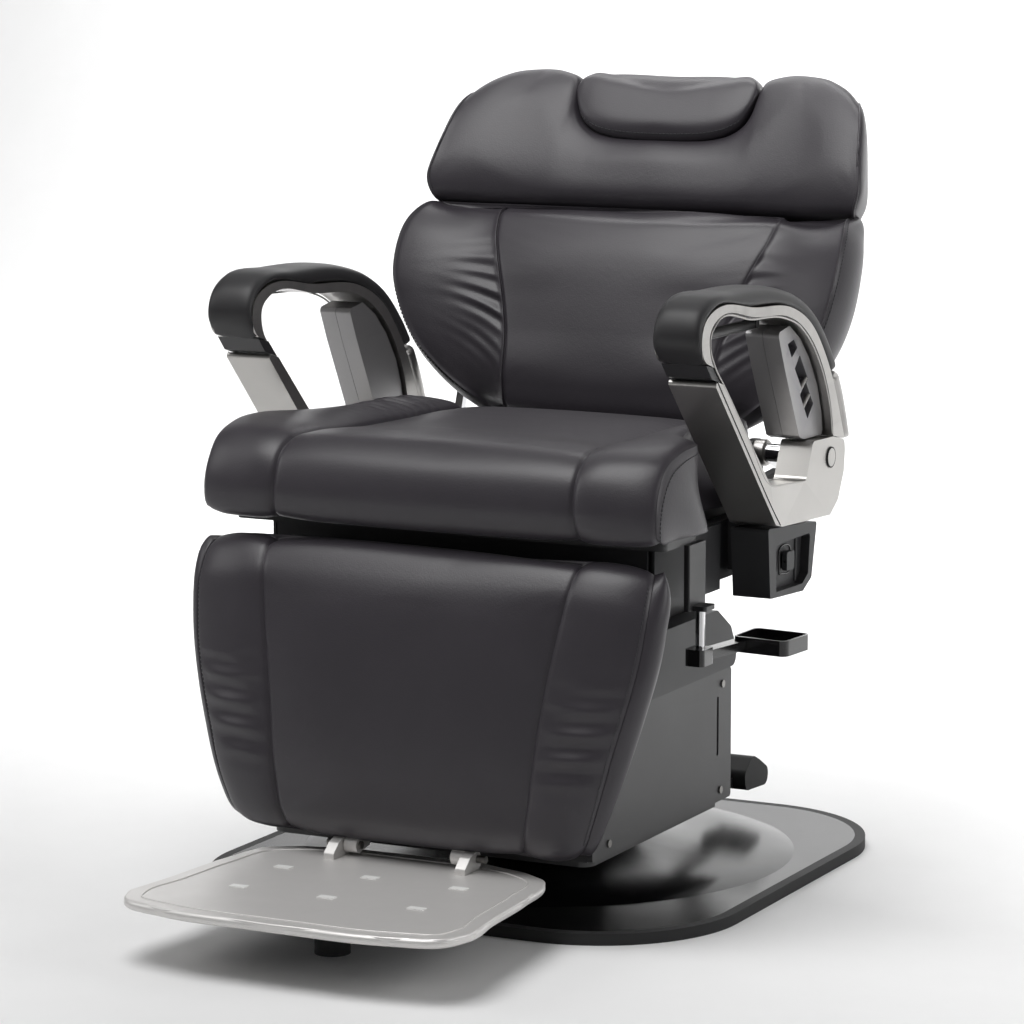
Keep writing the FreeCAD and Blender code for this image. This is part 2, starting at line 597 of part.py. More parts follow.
def build_headrest():
    """Centre pillow in the notch of the head cushion, on two rods that slide in it."""
    half, low, top = size("pillow_half"), size("pillow_bottom"), size("pillow_top")
    shape = [(0, low), (66, low + 1), (98, low + 8), (half - 12, low + 26), (half, low + 46), (half - 3, top - 22),
             (half - 26, top - 4), (0, top)]
    pillow = panel_through("headrest_pillow", mirror_points(shape), "pillow_front", "pillow_rear", 14)
    soften(pillow, 9, lambda edge: edge.BoundBox.YMax < size("pillow_front") + 1)
    for sign in SIDES.values():
        drill(pillow, "rod_radius", "XY_Plane", f"{sign} * rod_x", "rod_depth", "pillow_bottom", "60")
    lean(pillow)
    rods = [bar(size("rod_radius"), (sign * size("rod_x"), size("rod_depth"), 345),
                (sign * size("rod_x"), size("rod_depth"), low + 30)) for sign in SIDES.values()]
    posts = group("headrest_rods", rods)
    posts.Placement = FreeCAD.Placement(FreeCAD.Vector(0, size("pivot_y"), size("pivot_z")),
                                        FreeCAD.Rotation(FreeCAD.Vector(1, 0, 0), -size("back_lean")))


# ---------------------------------------------------------------- leg rest and footplate
def build_leg_rest():
    """Tapered leg cushion on its pan, the hinge pin and the footplate bracket."""
    cushion = new_body("legrest_cushion")
    sketch = new_sketch(cushion, "YZ_Plane")
    profile = [(-342, 461), (-364, 461), (-383, 437), (-393, 402), (-404, 341), (-414, 274), (-421, 208),
               (-421, 148), (-409, 110), (-381, 110), (-328, 452)]
    rounded(sketch, profile, 16)
    pad(cushion, sketch, "666", symmetric=True)
    trim = new_sketch(cushion, "XZ_Plane", "400")
    keep = [(231, 90), (253, 126), (276, 170), (297, 227), (318, 291), (331, 345), (333, 400), (326, 446),
            (306, 480)]
    for sign in SIDES.values():
        waste = [(sign * x, z) for x, z in keep] + [(sign * 400, 480), (sign * 400, 90)]
        rounded(trim, waste, 0)
    pocket(cushion, trim, "300")
    half = [(0, 116), (212, 116), (268, 190), (300, 290), (312, 380), (300, 440), (0, 440)]
    pan = new_body("legrest_pan")
    sketch = new_sketch(pan, "YZ_Plane")
    rounded(sketch, [(-380, 116), (-372, 116), (-321.5, 440), (-329.5, 440)], 0)
    pad(pan, sketch, "624", symmetric=True)
    outline = new_sketch(pan, "XZ_Plane", "350")
    for sign in SIDES.values():
        waste = [(sign * x, z) for x, z in half[1:-1]] + [(sign * 400, 441), (sign * 400, 115)]
        rounded(outline, waste, 0)
        rounded(outline, box_points(sign * 200.2, 396, sign * 212, 439.9), 1)
    pocket(pan, outline, "200")
    for sign in SIDES.values():
        knuckle = new_sketch(pan, "YZ_Plane", f"{sign} * 190")
        rounded(knuckle, [(-334, 406), (-326, 432), (-316, 436.5), (-306, 431), (-306, 418), (-329, 399)], 4)
        pad(pan, knuckle, "20", symmetric=True)
    drill(pan, "leg_pin_radius + running_gap", "YZ_Plane", "leg_pivot_y", "leg_pivot_z", "0", "420")
    pin = new_body("legrest_pin")
    rod(pin, "leg_pin_radius", "leg_pivot_y", "leg_pivot_z", "-209.5", "209.5")
    y, z = size("foot_pivot_y"), size("foot_pivot_z")
    eye = size("foot_pin_radius") + 5
    bracket_profile = [(-371.4, 116), (-366, 150), (-358, 150), (-364, 110), (-374, 90), (y, z - eye + 1),
                       (y - 5, z + eye - 1), (-381, 107), (-379, 115.7)]
    shapes = []
    for sign in SIDES.values():
        low_x, high_x = sorted((sign * 66, sign * 84))
        strap = prism(bracket_profile, low_x, high_x)
        knuckle = bar(eye, (low_x, y, z), (high_x, y, z))
        bore = bar(size("foot_pin_radius"), (low_x - 1, y, z), (high_x + 1, y, z))
        shapes.append(strap.fuse(knuckle).cut(bore).removeSplitter())
    group("footplate_brackets", shapes)
    pins = [bar(size("foot_pin_radius"), (sign * 63, y, z), (sign * 111, y, z)) for sign in SIDES.values()]
    group("footplate_pins", pins)


def build_footplate():
    """Cast plate with tread inserts, its ribbed under-frame and the rubber foot."""
    half = [(0, -364), (96, -367), (158, -384), (200, -410), (216, -500), (223, -600), (233, -676),
            (218, -716), (150, -737), (0, -744)]
    tread = plate("footplate", mirror_points(half), "plate_low", "plate_high", corner=30)
    soften(tread, 2.5, lambda edge: edge.BoundBox.ZMin > size("plate_high") - 0.5)
    inserts = []
    width, length = size("insert_width"), size("insert_length")
    seats = new_sketch(tread, "XY_Plane", "plate_high")
    for x in (-size("insert_x"), 0, size("insert_x")):
        for y in (-603, -494):
            low = (x - length / 2, y - width / 2, size("plate_high") - 2)
            high = (x + length / 2, y + width / 2, size("plate_high") + 1)
            inserts.append(block(low, high))
            rounded(seats, box_points(low[0], low[1], high[0], high[1]), 0)
    pocket(tread, seats, "4")
    group("tread_inserts", inserts)
    y, z = size("foot_pivot_y"), size("foot_pivot_z")
    for sign in SIDES.values():
        lug = new_sketch(tread, "YZ_Plane", f"{sign} * 92")
        rounded(lug, [(-434, 78), (-434, 88), (-420, 100), (y - 5, z + 10), (y + 8, z + 7), (y + 9, z - 8),
                      (y + 3, 78)], 5)
        pad(tread, lug, "14", symmetric=True)
    drill(tread, "foot_pin_radius + running_gap", "YZ_Plane", "foot_pivot_y", "foot_pivot_z", "0", "300")
    ribs = plate("footplate_frame", mirror_points([(0, -422), (150, -422), (170, -600), (130, -680), (0, -690)]),
                 "plate_low - 16", "plate_low - 0.5", corner=20)
    well = new_sketch(ribs, "XY_Plane", "plate_low - 16")
    rounded(well, mirror_points([(0, -452), (138, -452), (148, -570), (0, -570)]), 8)
    pocket(ribs, well, "20")
    foot = disc("rubber_foot", "rubber_radius", "rubber_low", "rubber_high", y="rubber_y")
    stem = new_sketch(foot, "XY_Plane", "rubber_high")
    circle(stem, "10", "0", "rubber_y")
    pad(foot, stem, "plate_low - 16 - rubber_high")


# ---------------------------------------------------------------- side tray
def build_tray():
    """Accessory tray that swings on a short post below the right front of the seat."""
    x, y = size("tray_post_x"), size("tray_post_y")
    hanger = plate("tray_bracket", box_points(300, y - 25, 308, y + 25), "394", "frame_top", corner=2)
    flange = new_sketch(hanger, "XY_Plane", "394")
    rounded(flange, box_points(300, y - 15, 326, y + 15), 4)
    pad(hanger, flange, "6")
    disc("tray_post", "tray_post_radius", "322", "394", "tray_post_x", "tray_post_y")
    clamp = plate("tray_clamp", box_points(x - 13, y - 20, x + 13, y + 14), "325", "346", corner=6)
    drill(clamp, "tray_post_radius + running_gap", "XY_Plane", "tray_post_x", "tray_post_y", "340", "60")
    tray = plate("tray", [(x + 2, -116), (x + 78, -124), (x + 84, -56), (x + 4, -48)], "tray_low",
                 "tray_high", corner=10)
    well = new_sketch(tray, "XY_Plane", "tray_high")
    wall = size("tray_wall")
    rounded(well, [(x + 2 + wall, -116 + wall), (x + 78 - wall, -124 + wall), (x + 84 - wall, -56 - wall),
                   (x + 4 + wall, -48 - wall)], 7)
    pocket(tray, well, "(tray_high - tray_low - tray_wall) * 2")
    neck = new_sketch(tray, "XY_Plane", "tray_low + 4")
    rounded(neck, [(x - 9, y + 14), (x + 9, y + 14), (x + 22, -119), (x + 3, -115)], 0)
    pad(tray, neck, "12")


def check_and_export():
    """Recompute, refuse any failed or unsound piece, then write one file for each piece."""
    doc.recompute()
    for item in doc.Objects:
        if "Invalid" in item.State or "Error" in item.State:
            raise ValueError(f"{item.Label} failed: {item.State}")
    os.makedirs("parts", exist_ok=True)
    for piece in PIECES:
        if piece.Shape.isNull() or not piece.Shape.isValid() or not piece.Shape.Solids:
            raise ValueError(f"{piece.Label} is not a sound solid")
        piece.Shape.exportStep(f"parts/{piece.Label}.step")


build_base()
build_turntable()
build_housing()
build_pedal()
build_carriage()
build_side_boxes()
build_arms()
build_recline_lever()
build_backrest()
build_headrest()
build_leg_rest()
build_footplate()
build_tray()
check_and_export()
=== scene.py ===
"""Hydraulic barber chair: leather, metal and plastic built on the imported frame."""
import json
import logging
import math
from dataclasses import dataclass, field
from enum import Enum
from typing import Iterable, Sequence

import bmesh
import bpy
import numpy as np
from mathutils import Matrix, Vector


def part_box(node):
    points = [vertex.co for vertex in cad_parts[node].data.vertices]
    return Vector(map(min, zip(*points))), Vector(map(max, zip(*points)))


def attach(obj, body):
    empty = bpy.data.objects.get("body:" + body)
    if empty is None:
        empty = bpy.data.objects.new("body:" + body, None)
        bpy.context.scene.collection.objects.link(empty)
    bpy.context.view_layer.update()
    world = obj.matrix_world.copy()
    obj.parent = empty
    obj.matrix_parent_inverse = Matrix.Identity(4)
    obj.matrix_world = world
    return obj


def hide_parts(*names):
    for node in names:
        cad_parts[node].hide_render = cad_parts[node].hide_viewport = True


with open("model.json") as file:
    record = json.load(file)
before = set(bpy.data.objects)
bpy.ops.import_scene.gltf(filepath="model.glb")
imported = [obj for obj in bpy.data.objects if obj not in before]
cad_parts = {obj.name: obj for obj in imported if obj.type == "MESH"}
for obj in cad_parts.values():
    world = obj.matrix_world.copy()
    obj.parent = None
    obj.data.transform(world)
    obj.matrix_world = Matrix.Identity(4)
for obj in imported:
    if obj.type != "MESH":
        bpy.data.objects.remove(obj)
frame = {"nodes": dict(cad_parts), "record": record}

LOG = logging.getLogger("barber_chair")
MM = 0.001
FULL_TURN = 2 * math.pi
Point = tuple[float, float, float]
Pairs = tuple[tuple[float, float], ...]
Points = tuple[Point, ...]
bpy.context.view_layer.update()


# Finishes --------------------
def linear(code: str) -> tuple[float, float, float, float]:
    """Turn an sRGB hex colour into linear RGBA.

    Args:
        code: Six hex digits after a hash sign.

    Returns:
        The colour in linear light with full alpha.
    """
    parts = [int(code[start:start + 2], 16) / 255 for start in (1, 3, 5)]
    lit = [c / 12.92 if c <= 0.04045 else ((c + 0.055) / 1.055) ** 2.4 for c in parts]
    return lit[0], lit[1], lit[2], 1.0


def add_node(material: bpy.types.Material, kind: str, settings: dict | None = None,
             links: dict | None = None) -> bpy.types.Node:
    """Add one shader node with its socket values, properties and incoming links.

    Args:
        material: Material whose tree gets the node.
        kind: Blender's node type name.
        settings: Socket name to value, or property name to value.
        links: Socket name to the (node, output name) that feeds it.

    Returns:
        The new node.
    """
    node = material.node_tree.nodes.new(kind)
    for name, value in (settings or {}).items():
        if isinstance(name, int) or name in node.inputs:
            node.inputs[name].default_value = value
        else:
            setattr(node, name, value)
    for name, (source, output) in (links or {}).items():
        material.node_tree.links.new(source.outputs[output], node.inputs[name])
    return node


# Places of the colour sockets on Blender's mix node.
MIX_A, MIX_B, MIX_RESULT = 6, 7, 2


class Grain(Enum):
    """How the surface was made, which sets the pattern of its fine relief."""

    HIDE = "embossed leather grain"
    MOULDED = "spark-eroded mould texture"
    CAST = "fine cast and vibratory-finished skin"
    BRUSHED = "fine brushing in one direction"
    POLISHED = "smooth coat with a trace of orange peel"


@dataclass(frozen=True)
class Finish:
    """One real material with its colour, gloss and fine relief."""

    name: str
    colour: str
    shade: str
    roughness: float
    metallic: float = 0.0
    grain: Grain = Grain.MOULDED
    cell_mm: float = 1.0
    relief_mm: float = 0.05
    sheen: float = 0.0
    coat: float = 0.0
    coat_roughness: float = 0.1
    ior: float = 1.5
    wear: float = 0.0

    def material(self) -> bpy.types.Material:
        """Build the material once and return it on every later call."""
        known = bpy.data.materials.get(self.name)
        if known:
            return known
        made = bpy.data.materials.new(self.name)
        made.use_nodes = True
        made.node_tree.nodes.clear()
        self._shade(made)
        return made

    def _shade(self, made: bpy.types.Material) -> None:
        """Wire colour variation, roughness variation and relief into the shader."""
        place = add_node(made, "ShaderNodeTexCoord")
        stretch = (0.06, 1.0, 1.0) if self.grain is Grain.BRUSHED else (1.0, 1.0, 1.0)
        span = add_node(made, "ShaderNodeMapping", {"Scale": stretch}, {"Vector": (place, "Object")})
        clouds = add_node(made, "ShaderNodeTexNoise",
                          {"Scale": 9.0, "Detail": 5.0, "Roughness": 0.6},
                          {"Vector": (place, "Object")})
        colour = add_node(made, "ShaderNodeMix", {
            "data_type": "RGBA", MIX_A: linear(self.colour), MIX_B: linear(self.shade)},
            {"Factor": (clouds, "Fac")})
        if self.wear > 0.0:
            colour = self._worn(made, colour)
        height = self._height(made, span)
        rough = add_node(made, "ShaderNodeMapRange", {"To Min": max(self.roughness - 0.05, 0.02),
                                                      "To Max": self.roughness + 0.06},
                         {"Value": (clouds, "Fac")})
        bump = add_node(made, "ShaderNodeBump", {"Strength": 0.55, "Distance": self.relief_mm * MM},
                        {"Height": (height, "Value")})
        shader = add_node(made, "ShaderNodeBsdfPrincipled", {
            "Metallic": self.metallic, "Sheen Weight": self.sheen, "Sheen Roughness": 0.45,
            "Coat Weight": self.coat, "Coat Roughness": self.coat_roughness, "IOR": self.ior},
            {"Base Color": (colour, MIX_RESULT), "Roughness": (rough, "Result"),
             "Normal": (bump, "Normal")})
        add_node(made, "ShaderNodeOutputMaterial", links={"Surface": (shader, "BSDF")})

    def _height(self, made: bpy.types.Material, span: bpy.types.Node) -> bpy.types.Node:
        """Relief pattern of the grain, in cells of the finish's own size."""
        cells_per_metre = 1.0 / (self.cell_mm * MM)
        if self.grain is Grain.HIDE:
            pebble = add_node(made, "ShaderNodeTexVoronoi",
                              {"Scale": cells_per_metre, "feature": "SMOOTH_F1"},
                              {"Vector": (span, "Vector")})
            folds = add_node(made, "ShaderNodeTexNoise",
                             {"Scale": cells_per_metre * 0.22, "Detail": 4.0},
                             {"Vector": (span, "Vector")})
            return add_node(made, "ShaderNodeMath", {"operation": "ADD"},
                            {0: (pebble, "Distance"), 1: (folds, "Fac")})
        fine = add_node(made, "ShaderNodeTexNoise", {"Scale": cells_per_metre, "Detail": 3.0},
                        {"Vector": (span, "Vector")})
        return add_node(made, "ShaderNodeMath", {"operation": "MULTIPLY", 1: 1.0},
                        {0: (fine, "Fac")})

    def _worn(self, made: bpy.types.Material, colour: bpy.types.Node) -> bpy.types.Node:
        """Lighten rubbed edges a little, found from the curvature of the surface."""
        shape = add_node(made, "ShaderNodeNewGeometry")
        edge = add_node(made, "ShaderNodeMapRange",
                        {"From Min": 0.52, "From Max": 0.62, "To Max": self.wear},
                        {"Value": (shape, "Pointiness")})
        rubbed = "#d8d6d2" if self.metallic else "#5a5a5c"
        return add_node(made, "ShaderNodeMix", {"data_type": "RGBA", MIX_B: linear(rubbed)},
                        {"Factor": (edge, "Result"), MIX_A: (colour, MIX_RESULT)})


# Corrected-grain cowhide: pebbled emboss and a thin satin topcoat, so highlights are broad and soft.
HIDE = Finish("corrected_grain_leather", "#2c292e", "#343036", 0.42, grain=Grain.HIDE, cell_mm=1.7,
              relief_mm=0.2, sheen=0.04, coat=0.1, coat_roughness=0.36)
# Polyester sewing thread: round, fine and a shade duller than the hide round it.
THREAD = Finish("bonded_polyester_thread", "#3a3a3d", "#2e2e31", 0.6, cell_mm=0.5)
# Integral-skin urethane foam: a dead-matte moulded skin with a slight bloom.
URETHANE = Finish("integral_skin_urethane", "#1c1b1d", "#232224", 0.5, cell_mm=0.8,
                  relief_mm=0.05, sheen=0.02)
# Die-cast aluminium, tumbled: satin, bright on its rubbed edges.
CAST = Finish("tumbled_die_cast_aluminium", "#a5a3a0", "#939190", 0.36, 1.0, Grain.CAST, 1.2,
              0.03, wear=0.5)
# Sand-blasted, anodised tread plate: pale with a fine stipple that breaks up reflections.
TREAD = Finish("blasted_cast_aluminium", "#e8e6e4", "#d6d4d2", 0.44, 0.5, Grain.BRUSHED, 1.2, 0.10)
# Polished raised dots of the tread, bright from wear.
DOT = Finish("polished_aluminium", "#f8f8f6", "#f0f0ee", 0.3, 0.1, Grain.POLISHED, 4.0, 0.01)
# Spark-textured ABS: fine matte mould texture.
MOULDED = Finish("spark_textured_abs", "#232325", "#2a2a2c", 0.5, cell_mm=0.9, relief_mm=0.06,
                 wear=0.08)
# Satin-painted sheet steel panels.
PANEL = Finish("satin_painted_sheet_steel", "#1d1c1e", "#232224", 0.4, cell_mm=1.4,
               relief_mm=0.03, wear=0.1)
# Stove-enamelled base pressing: deep gloss with a trace of orange peel.
ENAMEL = Finish("stove_enamelled_steel", "#0d0d0e", "#121213", 0.2, 0.0, Grain.POLISHED, 8.0,
                0.004, ior=1.27)
# Polished ABS for the tray and the clamp.
GLOSS = Finish("polished_abs", "#101011", "#161617", 0.2, 0.0, Grain.POLISHED, 5.0, 0.02, coat=0.4)
# Carbon-filled rubber: matte with a soft bloom.
RUBBER = Finish("carbon_filled_rubber", "#19191a", "#222223", 0.7, cell_mm=0.7, relief_mm=0.05)
# Hard chrome on ground steel.
CHROME = Finish("hard_chromed_steel", "#dcdcdd", "#cfcfd1", 0.09, 1.0, Grain.POLISHED, 4.0, 0.01)
# Ground bare steel of the hidden pins and bearings.
STEEL = Finish("ground_steel", "#8d8b88", "#7c7a77", 0.32, 1.0, Grain.BRUSHED, 0.6, 0.02)
# Metallic grey paint over moulded hinge covers: fine flake gives a soft metallic lift.
FLAKE = Finish("metallic_grey_paint", "#7f7e82", "#88878b", 0.42, 0.75, Grain.CAST, 0.9, 0.04,
               coat=0.2, wear=0.3)
# Semi-gloss powder coat on the welded frames.
POWDER = Finish("semi_gloss_powder_coat", "#1a1a1b", "#202021", 0.38, cell_mm=1.1,
                relief_mm=0.05, wear=0.12)

NODE_FINISH: dict[str, Finish] = {
    "black_leather": HIDE, "soft_urethane": URETHANE, "cast_arm_metal": CAST,
    "graphite_plastic": MOULDED, "black_joint_plastic": MOULDED,
    "graphite_panel_paint": PANEL, "gloss_black_paint": ENAMEL,
    "gloss_black_plastic": GLOSS, "black_rubber": RUBBER, "black_frame_paint": POWDER,
    "bright_chrome": CHROME, "cast_aluminium_plate": TREAD, "bright_inserts": CHROME,
    "plain_steel": STEEL}


# Mesh tools --------------------
def sample_path(points: Sequence[Point], count: int) -> np.ndarray:
    """Sample a smooth curve through the points at even steps of its length.

    Args:
        points: Control points the curve passes through.
        count: Number of samples, both ends included.

    Returns:
        Array of shape (count, 3).
    """
    knots = np.array(points, float)
    steps = np.linalg.norm(np.diff(knots, axis=0), axis=1)
    along = np.concatenate([[0.0], np.cumsum(steps)])
    slopes = np.gradient(knots, along, axis=0)
    where = np.linspace(0.0, along[-1], count)
    index = np.clip(np.searchsorted(along, where, side="right") - 1, 0, len(knots) - 2)
    span = (along[index + 1] - along[index])[:, None]
    part = ((where - along[index]) / (along[index + 1] - along[index]))[:, None]
    start, end = knots[index], knots[index + 1]
    square, cube = part**2, part**3
    out = (2 * cube - 3 * square + 1) * start + (cube - 2 * square + part) * span * slopes[index]
    return out + (3 * square - 2 * cube) * end + (cube - square) * span * slopes[index + 1]


def mirrored(points: np.ndarray) -> np.ndarray:
    """Copy of the points with X turned over."""
    return points * np.array([-1.0, 1.0, 1.0])


def unit(vectors: np.ndarray) -> np.ndarray:
    """Rows scaled to length one."""
    return vectors / np.maximum(np.linalg.norm(vectors, axis=-1, keepdims=True), 1e-9)


def make_object(name: str, points: np.ndarray, faces: Iterable[Sequence[int]],
                finish: Finish) -> bpy.types.Object:
    """Make a smooth-shaded mesh object and link it to the scene.

    Args:
        name: Object name.
        points: Vertex positions in metres.
        faces: Vertex indices of each face.
        finish: Finish of the whole piece.

    Returns:
        The linked object.
    """
    mesh = bpy.data.meshes.new(name)
    mesh.from_pydata([tuple(row) for row in points], [], [list(face) for face in faces])
    mesh.validate()
    mesh.polygons.foreach_set("use_smooth", [True] * len(mesh.polygons))
    mesh.materials.append(finish.material())
    made = bpy.data.objects.new(name, mesh)
    bpy.context.scene.collection.objects.link(made)
    return made


def loft(name: str, rings: np.ndarray, finish: Finish) -> bpy.types.Object:
    """Skin a stack of closed rings and close both ends.

    Args:
        name: Object name.
        rings: Array (stations, ring points, 3).
        finish: Finish of the piece.

    Returns:
        The object.
    """
    stations, around = rings.shape[:2]
    points = rings.reshape(-1, 3)
    rows = np.arange(stations - 1)[:, None] * around
    cols = np.arange(around)[None, :]
    after = (cols + 1) % around
    faces = np.stack([rows + cols, rows + after, rows + around + after, rows + around + cols], -1)
    faces = faces.reshape(-1, 4).tolist()
    faces += cap_faces(0, around, False) + cap_faces((stations - 1) * around, around, True)
    made = make_object(name, points, faces, finish)
    recalculate(made)
    return made


def cap_faces(first: int, around: int, turned: bool) -> list[list[int]]:
    """Close a ring with a strip of quads between its two halves.

    Args:
        first: Index of the ring's first vertex.
        around: Number of vertices in the ring.
        turned: Whether the faces look the other way.

    Returns:
        Faces as lists of vertex indices.
    """
    half = around // 2
    faces = []
    for step in range(half - 1):
        near, far = first + step, first + around - 1 - step
        face = [near, near + 1, far - 1, far] if near + 1 != far - 1 else [near, near + 1, far]
        faces.append(face[::-1] if turned else face)
    return faces


def recalculate(made: bpy.types.Object) -> None:
    """Point every face of a closed mesh outward."""
    net = bmesh.new()
    net.from_mesh(made.data)
    bmesh.ops.recalc_face_normals(net, faces=net.faces)
    net.to_mesh(made.data)
    net.free()


def refine(made: bpy.types.Object) -> None:
    """Apply one level of subdivision so that the final mesh is smooth."""
    modifier = made.modifiers.new("smooth_skin", "SUBSURF")
    modifier.levels = modifier.render_levels = 1
    bake(made)


def bake(made: bpy.types.Object) -> None:
    """Replace an object's mesh by its evaluated one and drop its modifiers."""
    graph = bpy.context.evaluated_depsgraph_get()
    fresh = bpy.data.meshes.new_from_object(made.evaluated_get(graph))
    made.modifiers.clear()
    made.data = fresh


def coordinates(made: bpy.types.Object) -> np.ndarray:
    """Vertex positions of an object's mesh as an array."""
    flat = np.zeros(len(made.data.vertices) * 3)
    made.data.vertices.foreach_get("co", flat)
    return flat.reshape(-1, 3)


def inflate(made: bpy.types.Object, held: np.ndarray, around: int, cap: float,
            pressure: float = 4.0) -> None:
    """Puff a closed skin by cloth pressure between the places where it is sewn down.

    Neighbouring points are then evened out, so that the leather bulges without crumpling.

    Args:
        made: Closed mesh to inflate.
        held: Weight for each vertex, 1 where a seam or board holds it.
        around: Number of vertices in one ring of the skin.
        cap: Longest way that any point may move, in metres.
        pressure: Cloth pressure.
    """
    frames, passes, raw = 20, 12, 0.2
    group = made.vertex_groups.new(name="sewn")
    for weight in np.unique(np.round(held, 2)):
        if weight > 0.0:
            alike = np.nonzero(np.abs(held - weight) < 0.006)[0]
            group.add(alike.tolist(), float(weight), "REPLACE")
    before = coordinates(made)
    modifier = made.modifiers.new("foam", "CLOTH")
    settings = modifier.settings
    settings.quality = 5
    settings.mass = 0.4
    settings.tension_stiffness = settings.compression_stiffness = settings.shear_stiffness = 20.0
    settings.bending_stiffness = 2.0
    settings.use_pressure = True
    settings.uniform_pressure_force = pressure
    settings.vertex_group_mass = "sewn"
    settings.effector_weights.gravity = 0.0
    modifier.point_cache.frame_start, modifier.point_cache.frame_end = 1, frames
    scene = bpy.context.scene
    for step in range(1, frames + 1):
        scene.frame_set(step)
    bake(made)
    scene.frame_set(1)
    shift = coordinates(made) - before
    taut = shift.reshape(-1, around, 3)
    for _ in range(passes):
        padded = np.concatenate([taut[:1], taut, taut[-1:]])
        taut = (padded[:-2] + padded[2:] + np.roll(taut, 1, axis=1) + np.roll(taut, -1, axis=1)) / 4
    shift = raw * shift + (1.0 - raw) * taut.reshape(-1, 3) * (1.0 - held[:, None])
    reach = np.linalg.norm(shift, axis=1, keepdims=True)
    kept = before + shift * np.minimum(1.0, cap / np.maximum(reach, 1e-9))
    made.data.vertices.foreach_set("co", kept.ravel())
    made.data.update()
    made.vertex_groups.clear()
    LOG.info("%s inflated, largest move %.1f mm", made.name, reach.max() / MM)


def crown(share: np.ndarray, height: float, fullness: float) -> np.ndarray:
    """Height of a stuffed panel across its width, flat-topped for a high fullness."""
    return height * (1.0 - np.abs(2.0 * share - 1.0) ** fullness)


def eased(count: int) -> np.ndarray:
    """Shares from 0 to 1 that crowd towards both ends, the last one left out."""
    return (1.0 - np.cos(np.pi * np.arange(count) / count)) / 2.0


@dataclass
class Panel:
    """One strip of cover between two seams of a sewn cushion."""

    columns: int
    height: float
    fullness: float = 4.0
    groove: float = 0.0025


def sewn_rings(lines: Sequence[np.ndarray],
               panels: Sequence[Panel]) -> tuple[np.ndarray, np.ndarray]:
    """Rings of a cushion cover that bulges between its sewn lines.

    Args:
        lines: Sewn lines in order round the cushion, each (stations, 3).
        panels: The strip that follows each line.

    Returns:
        The rings (stations, ring points, 3) and, for each ring point, its distance weight to a
        line.
    """
    dip, hold = 0.003, 0.004
    centre = sum(lines) / len(lines)
    parts, held = [], []
    for number, panel in enumerate(panels):
        start, end = lines[number], lines[(number + 1) % len(lines)]
        share = eased(panel.columns)
        flat = start[:, None] * (1 - share)[None, :, None] + end[:, None] * share[None, :, None]
        run = np.gradient((start + end) / 2, axis=0)
        out = unit(np.cross(run, end - start))
        sign = np.sign(np.sum(out * ((start + end) / 2 - centre), axis=1, keepdims=True))
        sign = np.sign(np.sum(sign)) if np.sum(sign) else 1.0
        width = np.linalg.norm(end - start, axis=1)[:, None]
        away = np.minimum(share, 1 - share)[None, :] * width
        rise = crown(share, panel.height, panel.fullness)[None, :]
        rise = rise - panel.groove * np.exp(-(away / dip) ** 2)
        parts.append(flat + (out * sign)[:, None, :] * rise[:, :, None])
        held.append(np.exp(-(away.mean(0) / hold) ** 2))
    return np.concatenate(parts, axis=1), np.concatenate(held)


def sewn_cushion(name: str, lines: Sequence[np.ndarray], panels: Sequence[Panel],
                 cap: float) -> bpy.types.Object:
    """Make a mirrored sewn cover that is held flat on its board, and puff it.

    Args:
        name: Object name.
        lines: Seam, edge and board line of the right side, each (stations, 3).
        panels: Centre, side, gusset and board panel; side and gusset come again on the left.
        cap: Longest way that any point may move, in metres.

    Returns:
        The cushion, before subdivision.
    """
    seam, edge, rear = lines
    centre, side, gusset, board = panels
    order = (centre, side, gusset, board, gusset, side)
    around = [mirrored(seam), seam, edge, rear, mirrored(rear), mirrored(edge)]
    rings, held = sewn_rings(around, order)
    made = loft(name, rings, HIDE)
    flat = np.concatenate([np.full(panel.columns, float(panel is board)) for panel in order])
    inflate(made, np.tile(np.maximum(held, flat), len(seam)), len(held), cap)
    return made


def stitch_row(name: str, path: np.ndarray, out: Point, body: str) -> bpy.types.Object:
    """Row of short raised stitches along a path.

    Args:
        name: Object name.
        path: Points that the row follows.
        out: Direction away from the surface.
        body: Body that the row rides on.

    Returns:
        The object.
    """
    pitch, length, sides = 0.0055, 0.72, 6
    profile = ((0.0, 0.25), (0.2, 0.6), (0.8, 0.6), (1.0, 0.25))
    steps = np.linalg.norm(np.diff(path, axis=0), axis=1)
    along = np.concatenate([[0.0], np.cumsum(steps)])
    points, faces = [], []
    lift = np.array(out) * 0.0004
    for start in np.arange(0.0, along[-1] - pitch, pitch):
        ends = [np.array([np.interp(at, along, path[:, axis]) for axis in range(3)]) + lift
                for at in (start, start + pitch * length)]
        run = unit(ends[1] - ends[0])
        side = unit(np.cross(run, np.array(out)))
        up = np.cross(side, run)
        first = len(points)
        for share, radius in profile:
            middle = ends[0] * (1 - share) + ends[1] * share
            for turn in range(sides):
                angle = turn * FULL_TURN / sides
                away = side * math.cos(angle) + up * math.sin(angle)
                points.append(middle + away * radius * MM)
        for low in range(first, len(points) - sides, sides):
            for turn in range(sides):
                after = (turn + 1) % sides
                faces.append([low + turn, low + after, low + sides + after, low + sides + turn])
        faces += [list(range(first + sides - 1, first - 1, -1)),
                  list(range(len(points) - sides, len(points)))]
    made = make_object(name, np.array(points), faces, THREAD)
    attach(made, body)
    return made


